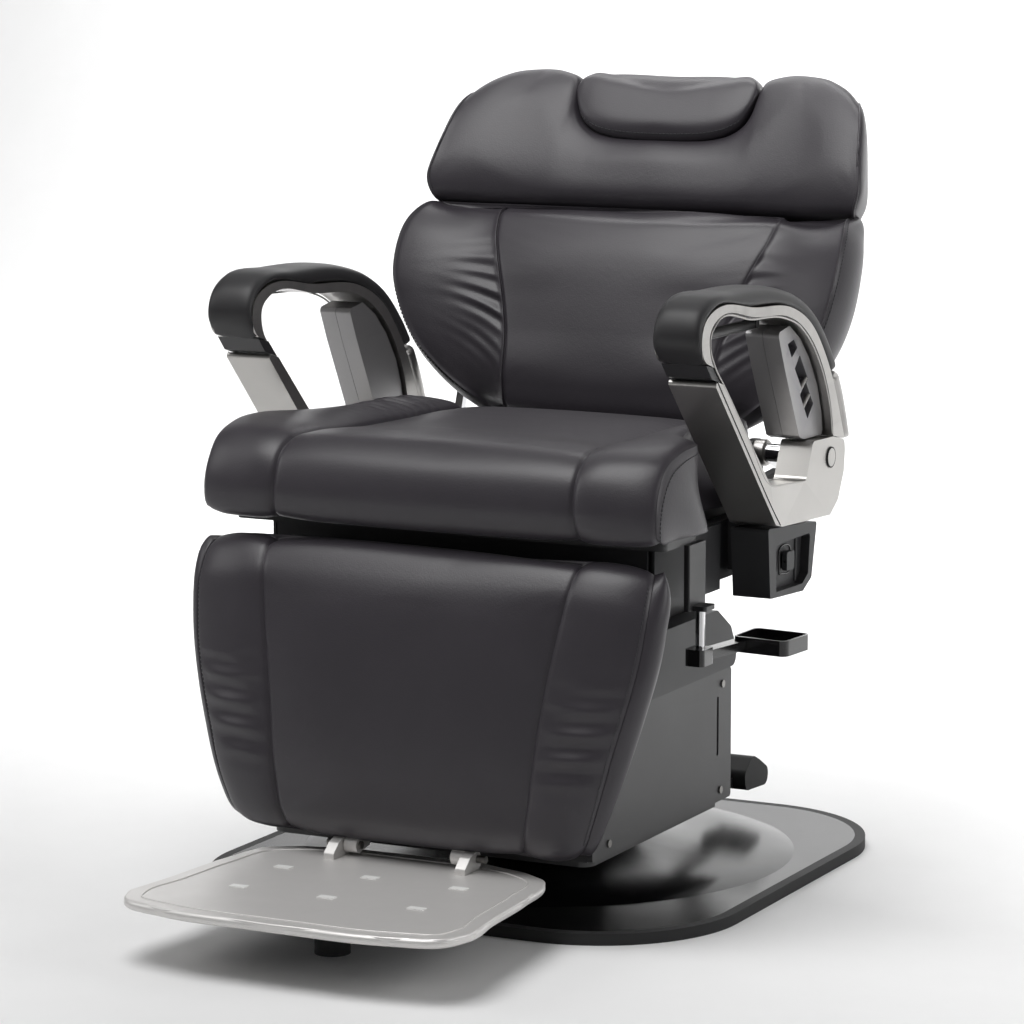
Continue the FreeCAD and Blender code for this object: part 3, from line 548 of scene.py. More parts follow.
def swept(name: str, path: np.ndarray, radius: float, finish: Finish, body: str,
          sides: int = 10) -> bpy.types.Object:
    """Round bead along a path.

    Args:
        name: Object name.
        path: Points of its centre line.
        radius: Radius in metres.
        finish: Finish of the bead.
        body: Body that it rides on.
        sides: Number of points round it.

    Returns:
        The object.
    """
    run = unit(np.gradient(path, axis=0))
    spread = np.ptp(path, axis=0)
    across = np.eye(3)[int(np.argmin(spread))] + np.array([0.02, 0.03, 0.01])
    side = unit(np.cross(run, across))
    up = np.cross(side, run)
    turns = np.arange(sides) * FULL_TURN / sides
    rings = path[:, None] + radius * (side[:, None] * np.cos(turns)[None, :, None]
                                      + up[:, None] * np.sin(turns)[None, :, None])
    made = loft(name, rings, finish)
    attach(made, body)
    return made


def wrinkles(across: np.ndarray, along: np.ndarray, pitch: float, depth: float,
             seed: int) -> np.ndarray:
    """Height of gathered leather folds.

    Args:
        across: Distance along which the folds repeat.
        along: Distance along which one fold runs.
        pitch: Spacing of the folds in metres.
        depth: Depth of the folds in metres.
        seed: Seed of their irregularity.

    Returns:
        Height for each point.
    """
    random = np.random.default_rng(seed)
    height = np.zeros(len(across))
    families, any_phase = 3, 6.28
    for _ in range(families):
        scale = pitch * random.uniform(0.85, 1.3)
        phase, sway = random.uniform(0, any_phase), random.uniform(-0.16, 0.16)
        waver = 0.5 * np.sin(along / 0.045 + random.uniform(0, any_phase))
        ridge = (across + sway * along) * FULL_TURN / scale + phase + waver
        height += 1.0 - 2.0 * np.abs(np.sin(ridge / 2)) ** 1.3
    return depth * height / families


# Leaning frame of the back --------------------
@dataclass(frozen=True)
class LeaningFrame:
    """Frame of the backrest: X across, height along the back and depth through it."""

    pivot_y: float = 0.125
    pivot_z: float = 0.543
    lean: float = math.radians(20)

    def point(self, across: float, height: float, depth: float) -> Point:
        """Point in the shared frame for a place on the back."""
        sin, cos = math.sin(self.lean), math.cos(self.lean)
        return (across, self.pivot_y + height * sin + depth * cos,
                self.pivot_z + height * cos - depth * sin)

    def line(self, places: Sequence[Point], count: int) -> np.ndarray:
        """Smooth line through places given as (across, height, depth)."""
        return sample_path([self.point(*place) for place in places], count)


BACK = LeaningFrame()


# Cushions --------------------
@dataclass
class LegRest:
    """Tapered leg cushion with a centre panel, two gathered side panels and thin gussets."""

    stations: int = 90
    pivot: tuple[float, float] = (-0.316, 0.425)
    swing: float = math.radians(55)
    clearance: float = 0.0665
    stitched: tuple[tuple[str, int], ...] = (("right", 66), ("left", 133))
    seam: Points = (
        (0.216, -0.338, 0.462), (0.216, -0.362, 0.459), (0.214, -0.382, 0.437),
        (0.208, -0.392, 0.402), (0.188, -0.414, 0.274), (0.177, -0.421, 0.175),
        (0.170, -0.417, 0.130), (0.166, -0.404, 0.111), (0.166, -0.384, 0.108))
    edge: Points = (
        (0.308, -0.332, 0.457), (0.312, -0.346, 0.449), (0.315, -0.365, 0.420),
        (0.311, -0.381, 0.361), (0.282, -0.403, 0.233), (0.260, -0.405, 0.155),
        (0.246, -0.398, 0.122), (0.232, -0.384, 0.110))
    rear: Points = (
        (0.308, -0.330, 0.455), (0.320, -0.327, 0.440), (0.322, -0.336, 0.380),
        (0.305, -0.353, 0.290), (0.270, -0.372, 0.180), (0.244, -0.381, 0.128),
        (0.230, -0.3835, 0.112))

    def build(self) -> bpy.types.Object:
        """Build the cushion and its stitching.

        Returns:
            The cushion.
        """
        lines = [sample_path(points, self.stations) for points in (self.seam, self.edge, self.rear)]
        panels = (Panel(44, 0.007, 5.0), Panel(26, 0.009, 2.6), Panel(12, 0.011, 2.0, 0.0015),
                  Panel(36, 0.0, 2.0, 0.0))
        made = sewn_cushion("legrest_upholstery", lines, panels, 0.004)
        self._gather(made)
        skin = coordinates(made).reshape(self.stations, -1, 3)
        refine(made)
        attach(made, "legrest")
        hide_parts("legrest_cushion")
        for name, column in self.stitched:
            stitch_row(f"legrest_stitches_{name}", skin[6:-6, column], (0.0, -1.0, 0.0), "legrest")
        return made

    def _gather(self, made: bpy.types.Object) -> None:
        """Gather the side panels in short level folds at calf height."""
        points = coordinates(made)
        seam_at = np.interp(points[:, 2], [0.11, 0.17, 0.27, 0.40, 0.46],
                            [0.166, 0.177, 0.188, 0.208, 0.216])
        edge_at = np.interp(points[:, 2], [0.11, 0.155, 0.233, 0.361, 0.45],
                            [0.232, 0.26, 0.282, 0.311, 0.312])
        share = np.clip((np.abs(points[:, 0]) - seam_at) / (edge_at - seam_at), 0, 1)
        calf, spread = 0.262, 0.072
        window = np.sin(np.pi * share) ** 0.5 * np.exp(-((points[:, 2] - calf) / spread) ** 4)
        front = np.clip((-points[:, 1] - 0.37) / 0.02, 0, 1)
        folds = wrinkles(points[:, 2], np.abs(points[:, 0]), pitch=0.028, depth=0.0030, seed=7)
        points[:, 1] -= folds * window * front
        self._round_shoulder(points)
        made.data.vertices.foreach_set("co", points.ravel())

    def _round_shoulder(self, points: np.ndarray) -> None:
        """Keep the top front edge low enough to swing under the seat."""
        ahead, above = self.pivot[0] - points[:, 1], points[:, 2] - self.pivot[1]
        turns, sharpness = np.linspace(0.0, self.swing, 12), 14
        highest = np.max(above[:, None] * np.cos(turns) + ahead[:, None] * np.sin(turns), axis=1)
        reach = np.maximum(highest, 0.0) / self.clearance
        shrink = np.where(above > -0.06, (1.0 + reach ** sharpness) ** (-1 / sharpness), 1.0)
        points[:, 1] = self.pivot[0] - ahead * shrink
        points[:, 2] = self.pivot[1] + above * shrink


@dataclass
class Seat:
    """Seat cushion: rolled front, sunken centre panel, side bolsters and flat end caps."""

    stations: int = 130
    underside: float = 0.4892
    stitched: tuple[tuple[str, int, float], ...] = (("right", 71, 1.0), ("left", 128, -1.0))
    seam: Points = (
        (0.212, -0.330, 0.4935), (0.212, -0.352, 0.496), (0.210, -0.363, 0.520),
        (0.208, -0.360, 0.547), (0.208, -0.348, 0.572), (0.205, -0.322, 0.590),
        (0.198, -0.285, 0.594), (0.194, -0.200, 0.588), (0.190, -0.050, 0.583),
        (0.188, 0.060, 0.580), (0.186, 0.118, 0.572), (0.184, 0.136, 0.555), (0.184, 0.137, 0.510),
        (0.184, 0.125, 0.4935))
    edge: Points = (
        (0.312, -0.325, 0.4935), (0.316, -0.346, 0.500), (0.317, -0.351, 0.530),
        (0.316, -0.341, 0.561), (0.316, -0.321, 0.585), (0.317, -0.285, 0.598),
        (0.314, -0.225, 0.603), (0.275, -0.180, 0.603), (0.256, -0.130, 0.602),
        (0.254, 0.000, 0.598), (0.250, 0.070, 0.592), (0.226, 0.104, 0.580), (0.214, 0.128, 0.560),
        (0.212, 0.130, 0.510), (0.212, 0.120, 0.4935))
    floor: Points = tuple((x, y, 0.493) for x, y in (
        (0.312, -0.320), (0.316, -0.300), (0.316, -0.200), (0.258, -0.178), (0.256, 0.060),
        (0.214, 0.100), (0.212, 0.118)))

    def build(self) -> bpy.types.Object:
        """Build the cushion and its end-cap stitching.

        Returns:
            The cushion.
        """
        lines = [sample_path(points, self.stations) for points in (self.seam, self.edge, self.floor)]
        panels = (Panel(44, 0.005, 6.0), Panel(24, 0.008, 3.0), Panel(14, 0.003, 3.0, 0.0015),
                  Panel(36, 0.0, 2.0, 0.0))
        made = sewn_cushion("seat_upholstery", lines, panels, 0.005)
        self._pleat(made)
        skin = coordinates(made).reshape(self.stations, -1, 3)
        refine(made)
        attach(made, "carriage")
        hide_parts("seat_cushion")
        for name, column, sign in self.stitched:
            stitch_row(f"seat_cap_stitches_{name}", skin[4:58, column], (sign, 0.0, 0.0), "carriage")
        return made

    def _pleat(self, made: bpy.types.Object) -> None:
        """Fold the rear bolsters in diagonal pleats where the backrest meets the seat."""
        points = coordinates(made)
        bolster, width, length, shoulder = 0.225, 0.035, 0.075, 0.56
        window = (np.exp(-((np.abs(points[:, 0]) - bolster) / width) ** 2)
                  * np.exp(-(points[:, 1] / length) ** 2)
                  * np.clip((points[:, 2] - shoulder) / 0.02, 0, 1))
        slant = points[:, 1] + 0.5 * np.abs(points[:, 0])
        folds = wrinkles(slant, points[:, 0], pitch=0.019, depth=0.006, seed=3)
        points[:, 2] = np.maximum(points[:, 2] + folds * window, self.underside)
        made.data.vertices.foreach_set("co", points.ravel())


@dataclass
class Backrest:
    """Shield-shaped back cushion whose side wings come forward of the centre panel."""

    stations: int = 100
    stitched: tuple[tuple[str, int, float], ...] = (("right", 77, 1.0), ("left", 144, -1.0))
    seam: Points = (
        (0.150, 0.040, 0.060), (0.150, 0.042, 0.032), (0.152, 0.075, 0.014), (0.161, 0.150, 0.013),
        (0.172, 0.193, 0.013), (0.187, 0.240, 0.014), (0.203, 0.290, 0.025), (0.207, 0.318, 0.038),
        (0.207, 0.330, 0.055))
    edge: Points = (
        (0.176, 0.048, 0.060), (0.205, 0.060, 0.040), (0.252, 0.090, 0.020),
        (0.292, 0.130, -0.001), (0.314, 0.172, -0.016), (0.324, 0.206, -0.025),
        (0.327, 0.240, -0.025), (0.324, 0.288, -0.012), (0.312, 0.322, 0.020),
        (0.305, 0.330, 0.050))
    rear: Points = (
        (0.170, 0.050, 0.078), (0.205, 0.066, 0.080), (0.254, 0.098, 0.082), (0.292, 0.142, 0.083),
        (0.309, 0.190, 0.083), (0.314, 0.240, 0.083), (0.310, 0.290, 0.083), (0.298, 0.325, 0.083),
        (0.290, 0.329, 0.081))

    def build(self) -> bpy.types.Object:
        """Build the back cushion and its edge stitching.

        Returns:
            The cushion.
        """
        lines = [BACK.line(points, self.stations) for points in (self.seam, self.edge, self.rear)]
        panels = (Panel(44, 0.006, 5.0), Panel(30, 0.008, 2.4), Panel(22, 0.014, 2.0, 0.0015),
                  Panel(30, 0.0, 2.0, 0.0))
        made = sewn_cushion("back_upholstery", lines, panels, 0.005)
        self._gather(made, lines[0])
        skin = coordinates(made).reshape(self.stations, -1, 3)
        refine(made)
        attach(made, "backrest")
        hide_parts("back_cushion")
        for name, column, sign in self.stitched:
            stitch_row(f"back_stitches_{name}", skin[12:-6, column], (0.8 * sign, -0.6, 0.0),
                       "backrest")
        return made

    def _gather(self, made: bpy.types.Object, seam: np.ndarray) -> None:
        """Fan short folds out of the panel seams at the height of the sitter's waist."""
        points = coordinates(made)
        seam_x = np.interp(points[:, 2], seam[:, 2], seam[:, 0])
        away = np.abs(points[:, 0]) - seam_x
        waist, spread, reach = 0.715, 0.070, 0.058
        window = (np.clip(away / 0.006, 0, 1) * np.exp(-(away / reach) ** 2)
                  * np.exp(-((points[:, 2] - waist) / spread) ** 4))
        fan = points[:, 2] - 0.30 * away + 0.8 * (points[:, 2] - 0.73) * away / 0.1
        front = np.clip((0.30 - points[:, 1]) / 0.03, 0, 1)
        folds = wrinkles(fan, away, pitch=0.028, depth=0.0036, seed=11)
        points[:, 1] -= folds * window * front
        made.data.vertices.foreach_set("co", points.ravel())


@dataclass(frozen=True)
class Smooth:
    """Smooth function through a few (position, value) pairs."""

    pairs: Pairs

    def at(self, where: np.ndarray | float) -> np.ndarray | float:
        """Value at one position or at many."""
        dense = sample_path([(x, value, 0.0) for x, value in self.pairs], 240)
        return np.interp(where, dense[:, 0], dense[:, 1])


def oval(turns: np.ndarray, square: float) -> tuple[np.ndarray, np.ndarray]:
    """Cosine and sine of a rounded square, squarer for a lower exponent."""
    cos, sin = np.cos(turns), np.sin(turns)
    return np.sign(cos) * np.abs(cos) ** square, np.sign(sin) * np.abs(sin) ** square


@dataclass
class HeadSection:
    """Winged roll above the back with flat piped ends and a notch for the pillow."""

    stations: int = 151
    around: int = 64
    low: float = 0.333
    rear: float = 0.103
    wing: float = 0.286
    square: float = 0.64
    ends: Pairs = ((0.975, 0.0025), (0.90, 0.005), (0.7, 0.0075), (0.4, 0.009))
    half: Smooth = Smooth((
        (0.334, 0.317), (0.360, 0.321), (0.388, 0.316), (0.425, 0.309), (0.472, 0.300),
        (0.508, 0.288), (0.526, 0.280)))
    top: Smooth = Smooth((
        (0.0, 0.436), (0.04, 0.4365), (0.075, 0.440), (0.100, 0.448), (0.118, 0.462),
        (0.129, 0.482), (0.136, 0.506), (0.147, 0.525), (0.170, 0.534), (0.222, 0.535),
        (0.254, 0.527), (0.274, 0.513), (0.286, 0.495)))
    front: Smooth = Smooth((
        (0.0, 0.046), (0.1, 0.044), (0.2, 0.032), (0.26, 0.018), (0.288, 0.014)))

    def build(self) -> bpy.types.Object:
        """Build the head section and the piping on its ends.

        Returns:
            The cushion.
        """
        share = np.linspace(-1, 1, self.stations)
        flat = np.array([self._ring(s, 1.0, 0.0) for s in share])
        left, right = ([self._ring(sign, shrink, puff) for shrink, puff in self.ends]
                       for sign in (-1.0, 1.0))
        rings = np.array(left[::-1] + list(flat) + right)
        made = loft("head_upholstery", rings, HIDE)
        turns = np.arange(self.around)
        held = np.where(np.abs(turns - self.around / 2) < self.around / 6, 1.0, 0.0)
        weights = np.tile(held, (len(rings), 1))
        piped = len(self.ends) + 1
        weights[:piped] = weights[-piped:] = 1.0
        inflate(made, weights.ravel(), self.around, 0.003)
        refine(made)
        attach(made, "backrest")
        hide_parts("head_cushion")
        for name, ring in (("left", flat[0]), ("right", flat[-1])):
            path = np.concatenate([ring[-1:], ring, ring[:2]])
            swept(f"head_piping_{name}", path, 0.0019, HIDE, "backrest")
        return made

    def _ring(self, share: float, shrink: float, puff: float) -> np.ndarray:
        """Rounded section of the roll at one share of the half width, shrunk for an end cap."""
        at_top = abs(share) * self.wing
        top, near = float(self.top.at(at_top)), float(self.front.at(at_top))
        tall, deep = (top - self.low) / 2, (self.rear - near) / 2
        cos, sin = oval(np.linspace(0, FULL_TURN, self.around, endpoint=False), self.square)
        height = self.low + tall + tall * sin * shrink
        through = near + deep - deep * cos * shrink
        rise = np.maximum(height - self.low, 0.0) / 0.19
        ahead = np.clip((self.rear - through) / (2 * deep), 0, 1)
        back = (0.008 + 0.030 * abs(share)) * rise ** 1.5 * ahead
        taper = 1.0 - 0.07 * (through - near) / (2 * deep)
        reach = self.half.at(height) * taper * abs(share) + puff
        across = math.copysign(1.0, share) * reach if share else 0.0 * reach
        return np.array([BACK.point(x, h, d) for x, h, d in zip(across, height, through + back)])


@dataclass
class Pillow:
    """Small head pillow that fills the notch and slides up on its rods."""

    half: float = 0.1365
    square: float = 0.5
    stations: int = 81
    around: int = 56
    low: Smooth = Smooth((
        (0.0, 0.432), (0.04, 0.4325), (0.075, 0.436), (0.100, 0.444), (0.118, 0.457),
        (0.129, 0.477), (0.1365, 0.503)))
    top: Smooth = Smooth((
        (0.0, 0.536), (0.09, 0.536), (0.118, 0.532), (0.130, 0.523), (0.1365, 0.507)))
    front: float = 0.050
    rear: float = 0.115

    def build(self) -> bpy.types.Object:
        """Build the pillow with the seam and stitches along its lower front.

        Returns:
            The pillow.
        """
        share = np.linspace(-1, 1, self.stations)
        across = self.half * np.sin(share * math.pi / 2)
        rings = np.array([self._ring(x) for x in across])
        made = loft("headrest_upholstery", rings, HIDE)
        inflate(made, np.zeros(self.stations * self.around), self.around, 0.002, pressure=3.0)
        skin = coordinates(made).reshape(self.stations, self.around, 3)
        refine(made)
        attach(made, "headrest")
        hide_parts("headrest_pillow")
        stitch_row("headrest_stitches", skin[12:-12, -7], (0.0, -0.9, -0.3), "headrest")
        return made

    def _ring(self, across: float) -> np.ndarray:
        """Pillow section at one distance from the middle."""
        reach = abs(across)
        low, top = float(self.low.at(reach)), float(self.top.at(reach))
        tall, deep = max((top - low) / 2, 0.001), (self.rear - self.front) / 2
        deep *= 0.35 + 0.65 * math.sqrt(max(1 - (reach / self.half) ** 6, 0.0))
        cos, sin = oval(np.linspace(0, FULL_TURN, self.around, endpoint=False), self.square)
        height = low + tall + tall * sin
        slope = 0.02 * (np.maximum(height - low, 0) / 0.095) ** 1.5 * (cos > 0)
        depth = (self.rear + self.front) / 2 - deep * cos + slope
        return np.array([BACK.point(across, h, d) for h, d in zip(height, depth)])


# Arms --------------------
@dataclass
class ArmPad:
    """Soft moulded pad over the arm rail, from its rounded nose down to the rear end."""

    inner: float = 0.2812
    outer: float = 0.3448
    stations: int = 90
    seam: int = 74
    under: Pairs = (
        (-0.269, 0.708), (-0.284, 0.731), (-0.278, 0.754), (-0.256, 0.768), (-0.128, 0.763),
        (-0.026, 0.755), (0.024, 0.741), (0.062, 0.721), (0.095, 0.691), (0.128, 0.649),
        (0.156, 0.597), (0.173, 0.562))
    over: Pairs = (
        (-0.270, 0.7045), (-0.294, 0.738), (-0.283, 0.769), (-0.254, 0.785), (-0.176, 0.788),
        (-0.035, 0.779), (0.030, 0.762), (0.080, 0.737), (0.131, 0.693), (0.182, 0.621),
        (0.207, 0.557))

    def build(self, side: str, sign: float) -> bpy.types.Object:
        """Build one pad.

        Args:
            side: Name of the side.
            sign: 1 for +X and -1 for -X.

        Returns:
            The pad.
        """
        low = sample_path([(0.0, y, z) for y, z in self.under], self.stations)
        high = sample_path([(0.0, y, z) for y, z in self.over], self.stations)
        share = np.linspace(0, 1, self.stations)
        nearest = [high[np.argmin(np.linalg.norm(high - p, axis=1) + 0.3 * np.abs(share - at))]
                   for at, p in zip(share, low)]
        high = 0.35 * np.array(nearest) + 0.65 * high
        middle, half = sign * (self.inner + self.outer) / 2, (self.outer - self.inner) / 2
        profile = [(-1.0, 0.0), (-1.0, 0.35), (-0.97, 0.62), (-0.86, 0.85), (-0.62, 0.97),
                   (-0.3, 1.0), (0.0, 1.004), (0.3, 1.0), (0.62, 0.97), (0.86, 0.85), (0.97, 0.62),
                   (1.0, 0.35), (1.0, 0.0), (0.5, 0.0), (0.0, 0.0), (-0.5, 0.0)]
        rings = np.array([[start * (1 - rise) + end * rise + np.array([middle + across * half, 0, 0])
                           for across, rise in profile] for start, end in zip(low, high)])
        made = loft(f"arm_pad_skin_{side}", rings[:self.seam + 1], URETHANE)
        cheek = loft(f"arm_rear_cheek_{side}", rings[self.seam + 1:], CAST)
        for piece in (made, cheek):
            refine(piece)
            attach(piece, "carriage")
            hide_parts(f"arm_pad_{side}")
        return made


@dataclass
class ArmTrim:
    """Fine lines of a cast arm: lip, groove, cap ring, switch surround, rib and ladder bars; the
    groove is a dark bead, painted shade for the shadow in the groove.
    """

    face: float = 0.3449
    recess: float = 0.3236
    cover: float = 0.3285
    lip: Pairs = (
        (0.044, 0.522), (-0.020, 0.527), (-0.066, 0.531), (-0.140, 0.600), (-0.215, 0.674),
        (-0.244, 0.702), (-0.258, 0.726), (-0.256, 0.742), (-0.242, 0.753), (-0.128, 0.748),
        (-0.030, 0.740), (0.017, 0.726), (0.050, 0.706), (0.081, 0.677), (0.109, 0.638),
        (0.125, 0.602), (0.131, 0.573))
    # Path of the groove, drawn as a dark rubber bead: painted shade for the shadow inside the
    # groove.
    groove: Pairs = ((-0.237, 0.682), (-0.146, 0.587), (-0.052, 0.490), (-0.038, 0.477))
    cap: tuple[float, float, float] = (0.125, 0.543, 0.0128)
    rocker: tuple[float, float, float, float] = (0.010, 0.405, 0.042, 0.437)
    bars: tuple[Pairs, ...] = (
        ((0.029, 0.671), (0.040, 0.682), (0.051, 0.693)),
        ((0.050, 0.633), (0.065, 0.643), (0.082, 0.654)),
        ((0.064, 0.612), (0.078, 0.622), (0.092, 0.632)))
    rib: Pairs = ((0.060, 0.389), (0.061, 0.415), (0.062, 0.447))

    def build(self, side: str, sign: float) -> bpy.types.Object:
        """Build the trim of one arm.

        Args:
            side: Name of the side.
            sign: 1 for +X and -1 for -X.

        Returns:
            The lip bead.
        """
        y, z, radius = self.cap
        ring = [(y + radius * math.cos(t), z + radius * math.sin(t))
                for t in np.linspace(0, FULL_TURN, 49)]
        low_y, low_z, high_y, high_z = self.rocker
        surround = [(low_y, low_z), (high_y, low_z), (high_y, high_z), (low_y, high_z),
                    (low_y, low_z)]
        # The groove bead is dark rubber on the silver face: painted shade for the shadow in the
        # groove.
        beads = [(f"arm_groove_painted_shade_{side}", self.groove, self.face, 90, 0.0009, RUBBER),
                 (f"axle_cap_ring_{side}", ring, self.face + 0.0012, 90, 0.0011, RUBBER),
                 (f"switch_surround_{side}", surround, self.recess, 120, 0.0012, GLOSS),
                 (f"recess_rib_{side}", self.rib, self.recess, 90, 0.0022, MOULDED)]
        beads += [(f"ladder_bar_{side}_{number}", ends, self.cover, 20, 0.0034, CAST)
                  for number, ends in enumerate(self.bars)]
        beads.append((f"arm_lip_{side}", self.lip, self.face - 0.0006, 90, 0.0013, CAST))
        for name, places, across, count, bead, finish in beads:
            line = sample_path([(sign * across, y, z) for y, z in places], count)
            made = swept(name, line, bead, finish, "carriage", 8)
        return made


@dataclass
class Pivot:
    """Turned sleeve of the backrest hinge and the moulded gusset below it."""

    centre: tuple[float, float] = (0.125, 0.543)
    profile: Pairs = (
        (0.231, 0.010), (0.232, 0.0165), (0.234, 0.0175), (0.2545, 0.0175), (0.2565, 0.0165),
        (0.2568, 0.0135))
    gusset: Pairs = (
        (0.036, 0.482), (0.098, 0.482), (0.118, 0.500), (0.118, 0.5245), (0.060, 0.520),
        (0.040, 0.505))

    def build(self, side: str, sign: float) -> bpy.types.Object:
        """Build the sleeve and the gusset of one side.

        Args:
            side: Name of the side.
            sign: 1 for +X and -1 for -X.

        Returns:
            The sleeve.
        """
        turns = np.linspace(0, FULL_TURN, 40, endpoint=False)
        y, z = self.centre
        rings = np.array([[(sign * x, y + radius * math.cos(t), z + radius * math.sin(t))
                           for t in turns] for x, radius in self.profile])
        sleeve = loft(f"hinge_sleeve_{side}", rings, CAST)
        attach(sleeve, "backrest")
        corners = np.array(self.gusset)
        middle = corners.mean(0)
        steps = ((0.2662, 0.96), (0.2668, 1.0), (0.2788, 1.0), (0.2800, 0.96))
        plates = np.array([[(sign * x, *(middle + (corner - middle) * grow)) for corner in corners]
                           for x, grow in steps])
        gusset = loft(f"hinge_gusset_{side}", plates, MOULDED)
        gusset.data.polygons.foreach_set("use_smooth", [False] * len(gusset.data.polygons))
        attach(gusset, "carriage")
        return sleeve


# Footplate trim --------------------
@dataclass
class FootplateTrim:
    """Rolled border of the tread plate and the raised line inside it."""

    inset: float = 0.020
    roll: float = 0.0045
    roll_radius: float = 0.0062
    outline: Pairs = (
        (0.0, -0.366), (0.096, -0.369), (0.158, -0.386), (0.196, -0.414), (0.214, -0.500),
        (0.222, -0.600), (0.230, -0.672), (0.216, -0.712), (0.150, -0.735), (0.0, -0.742))

    def build(self) -> bpy.types.Object:
        """Build the border and, half sunk in the plate, the raised line.

        Returns:
            The raised line.
        """
        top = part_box("footplate_frame")[1][2] + 0.0095
        right = sample_path([(x, y, top) for x, y in self.outline], 90)
        roll = swept("footplate_roll", self._loop(right, self.roll), self.roll_radius, TREAD,
                     "footplate", 16)
        roll.location.z = -self.roll_radius
        return swept("footplate_line", self._loop(right, self.inset), 0.0013, TREAD, "footplate", 8)

    @staticmethod
    def _loop(right: np.ndarray, inset: float) -> np.ndarray:
        """Closed line at one distance inside the outline."""
        along = unit(np.gradient(right, axis=0))
        inward = np.stack([along[:, 1], -along[:, 0], np.zeros(len(along))], axis=1)
        line = right + inset * inward
        line = line[line[:, 0] > 0.0]
        return np.concatenate([line, mirrored(line)[::-1], line[:1]])


# Carried-over CAD nodes --------------------
@dataclass
class HardParts:
    """The metal and plastic nodes: finish, softened edges and smooth shading."""

    bevel_mm: dict[str, float] = field(default_factory=lambda: {
        "arm_strut": 2.0, "arm_rail": 1.2, "link_cover": 2.0, "side_box": 1.6, "housing": 1.2,
        "upper_shroud": 2.5, "tray": 1.2, "footplate": 1.0, "pump_pedal": 1.5, "pedal_pad": 4.0,
        "rubber_foot": 1.5, "base_rim": 3.0, "back_shell": 1.5, "seat_skirts": 1.0,
        "seat_frame": 1.0})

    own: dict[str, Finish] = field(default_factory=lambda: {
        "link_cover": FLAKE, "tread_inserts": DOT, "pivot_axles": CAST, "back_hubs": CHROME,
        "arm_bands": PANEL})

    def dress(self) -> None:
        """Give every node its finish, a small bevel and smooth shading."""
        slots = {row["node"]: row["material_slot"] for row in frame["record"]["subparts"]}
        for name, node in frame["nodes"].items():
            node.data.materials.clear()
            finish = next((own for key, own in self.own.items() if name.startswith(key)),
                          NODE_FINISH[slots[name]])
            node.data.materials.append(finish.material())
            self._smooth(node)
            width = next((mm for key, mm in self.bevel_mm.items() if name.startswith(key)), 0.5)
            bevel = node.modifiers.new("softened_edges", "BEVEL")
            bevel.width = width * MM
            bevel.segments = 3
            bevel.limit_method = "ANGLE"
            bevel.angle_limit = math.radians(40)

    @staticmethod
    def _smooth(node: bpy.types.Object) -> None:
        """Shade a node smooth except across its real corners."""
        node.data.polygons.foreach_set("use_smooth", [True] * len(node.data.polygons))
        node.data.set_sharp_from_angle(angle=math.radians(35))


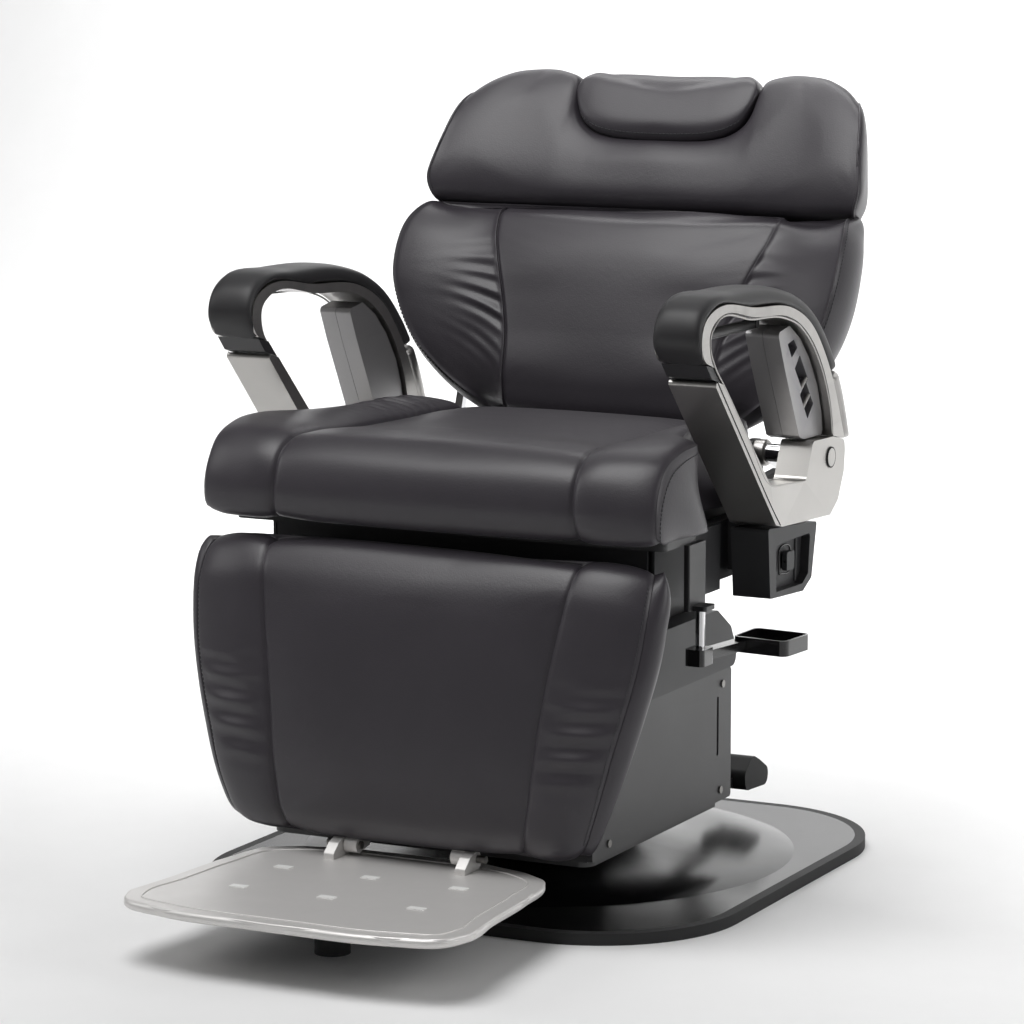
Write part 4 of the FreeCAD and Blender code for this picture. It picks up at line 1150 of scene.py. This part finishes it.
# Stage --------------------
@dataclass
class Studio:
    """Pale sweep, soft lights and the camera."""

    eye: Point = (2.434, -4.942, 1.338)
    target: Point = (0.0, -0.1089, 0.4794)
    lens: float = 149.55

    def build(self) -> None:
        """Build the camera, the floor, the world and the lights."""
        camera = self._aimed("camera", bpy.data.cameras.new("camera"), self.eye, self.target)
        camera.data.lens = self.lens
        camera.data.sensor_width = 36.0
        camera.data.clip_end = 60.0
        bpy.context.scene.camera = camera
        self._floor()
        self._world()
        seat, wall = (0.0, 0.0, 0.5), (0.0, 5.0, 2.0)
        for name, place, aim, size, power in (("top", (-0.4, -1.2, 3.2), seat, 2.0, 72.0),
                                              ("right", (3.6, 0.3, 1.7), seat, 1.6, 34.0),
                                              ("left", (-3.0, -1.4, 2.2), seat, 1.4, 16.0),
                                              ("backdrop", (-1.0, 1.8, 3.8), wall, 4.0, 330.0)):
            lamp = bpy.data.lights.new(name, "AREA")
            lamp.size, lamp.energy = size, power
            self._aimed(name, lamp, place, aim)
        bpy.context.scene.view_settings.view_transform = "Standard"

    def _floor(self) -> None:
        """Plain pale sweep: a flat floor that curves up into a wall behind the chair."""
        half, flat, turn, steps = 14.0, 3.5, 1.5, 12
        curve = [(flat + turn * math.sin(a), turn - turn * math.cos(a))
                 for a in np.linspace(0, math.pi / 2, steps)]
        line = [(-half, 0.0), *curve, (flat + turn, half)]
        corners = np.array([(side * half, y, z) for y, z in line for side in (-1, 1)])
        faces = [(2 * k, 2 * k + 1, 2 * k + 3, 2 * k + 2) for k in range(len(line) - 1)]
        paper = Finish("matte_backdrop_paper", "#efefef", "#ebebeb", 0.9, cell_mm=3.0,
                       relief_mm=0.02)
        sweep = make_object("floor", corners, faces, paper)
        self._one_sided(sweep.data.materials[0])

    @staticmethod
    def _one_sided(paper: bpy.types.Material) -> None:
        """Let the back of the sweep be seen through, so the wall hides nothing from behind."""
        output = next(node for node in paper.node_tree.nodes if node.type == "OUTPUT_MATERIAL")
        front = output.inputs["Surface"].links[0].from_node
        side = add_node(paper, "ShaderNodeNewGeometry")
        clear = add_node(paper, "ShaderNodeBsdfTransparent")
        either = add_node(paper, "ShaderNodeMixShader", links={
            0: (side, "Backfacing"), 1: (front, "BSDF"), 2: (clear, "BSDF")})
        paper.node_tree.links.new(either.outputs[0], output.inputs["Surface"])

    @staticmethod
    def _world() -> None:
        """Even white surroundings."""
        world = bpy.data.worlds.new("studio")
        bpy.context.scene.world = world
        world.use_nodes = True
        sky = world.node_tree.nodes["Background"]
        sky.inputs["Color"].default_value = (1.0, 1.0, 1.0, 1.0)
        sky.inputs["Strength"].default_value = 0.14

    @staticmethod
    def _aimed(name: str, data: bpy.types.ID, place: Point, aim: Point) -> bpy.types.Object:
        """Put a lamp or camera at one place and turn it to look at another."""
        made = bpy.data.objects.new(name, data)
        bpy.context.scene.collection.objects.link(made)
        made.location = place
        made.rotation_mode = "QUATERNION"
        made.rotation_quaternion = (Vector(aim) - Vector(place)).to_track_quat("-Z", "Y")
        return made


def main() -> None:
    """Build the chair's looks in order and report each piece."""
    logging.basicConfig(level=logging.INFO, format="%(message)s")
    Studio().build()
    HardParts().dress()
    for single in (LegRest, Seat, Backrest, HeadSection, Pillow):
        LOG.info("built %s", single().build().name)
    for paired in (ArmPad, ArmTrim, Pivot):
        for side, sign in (("right", 1.0), ("left", -1.0)):
            LOG.info("built %s", paired().build(side, sign).name)
    LOG.info("built %s", FootplateTrim().build().name)


if __name__ == "__main__":
    main()
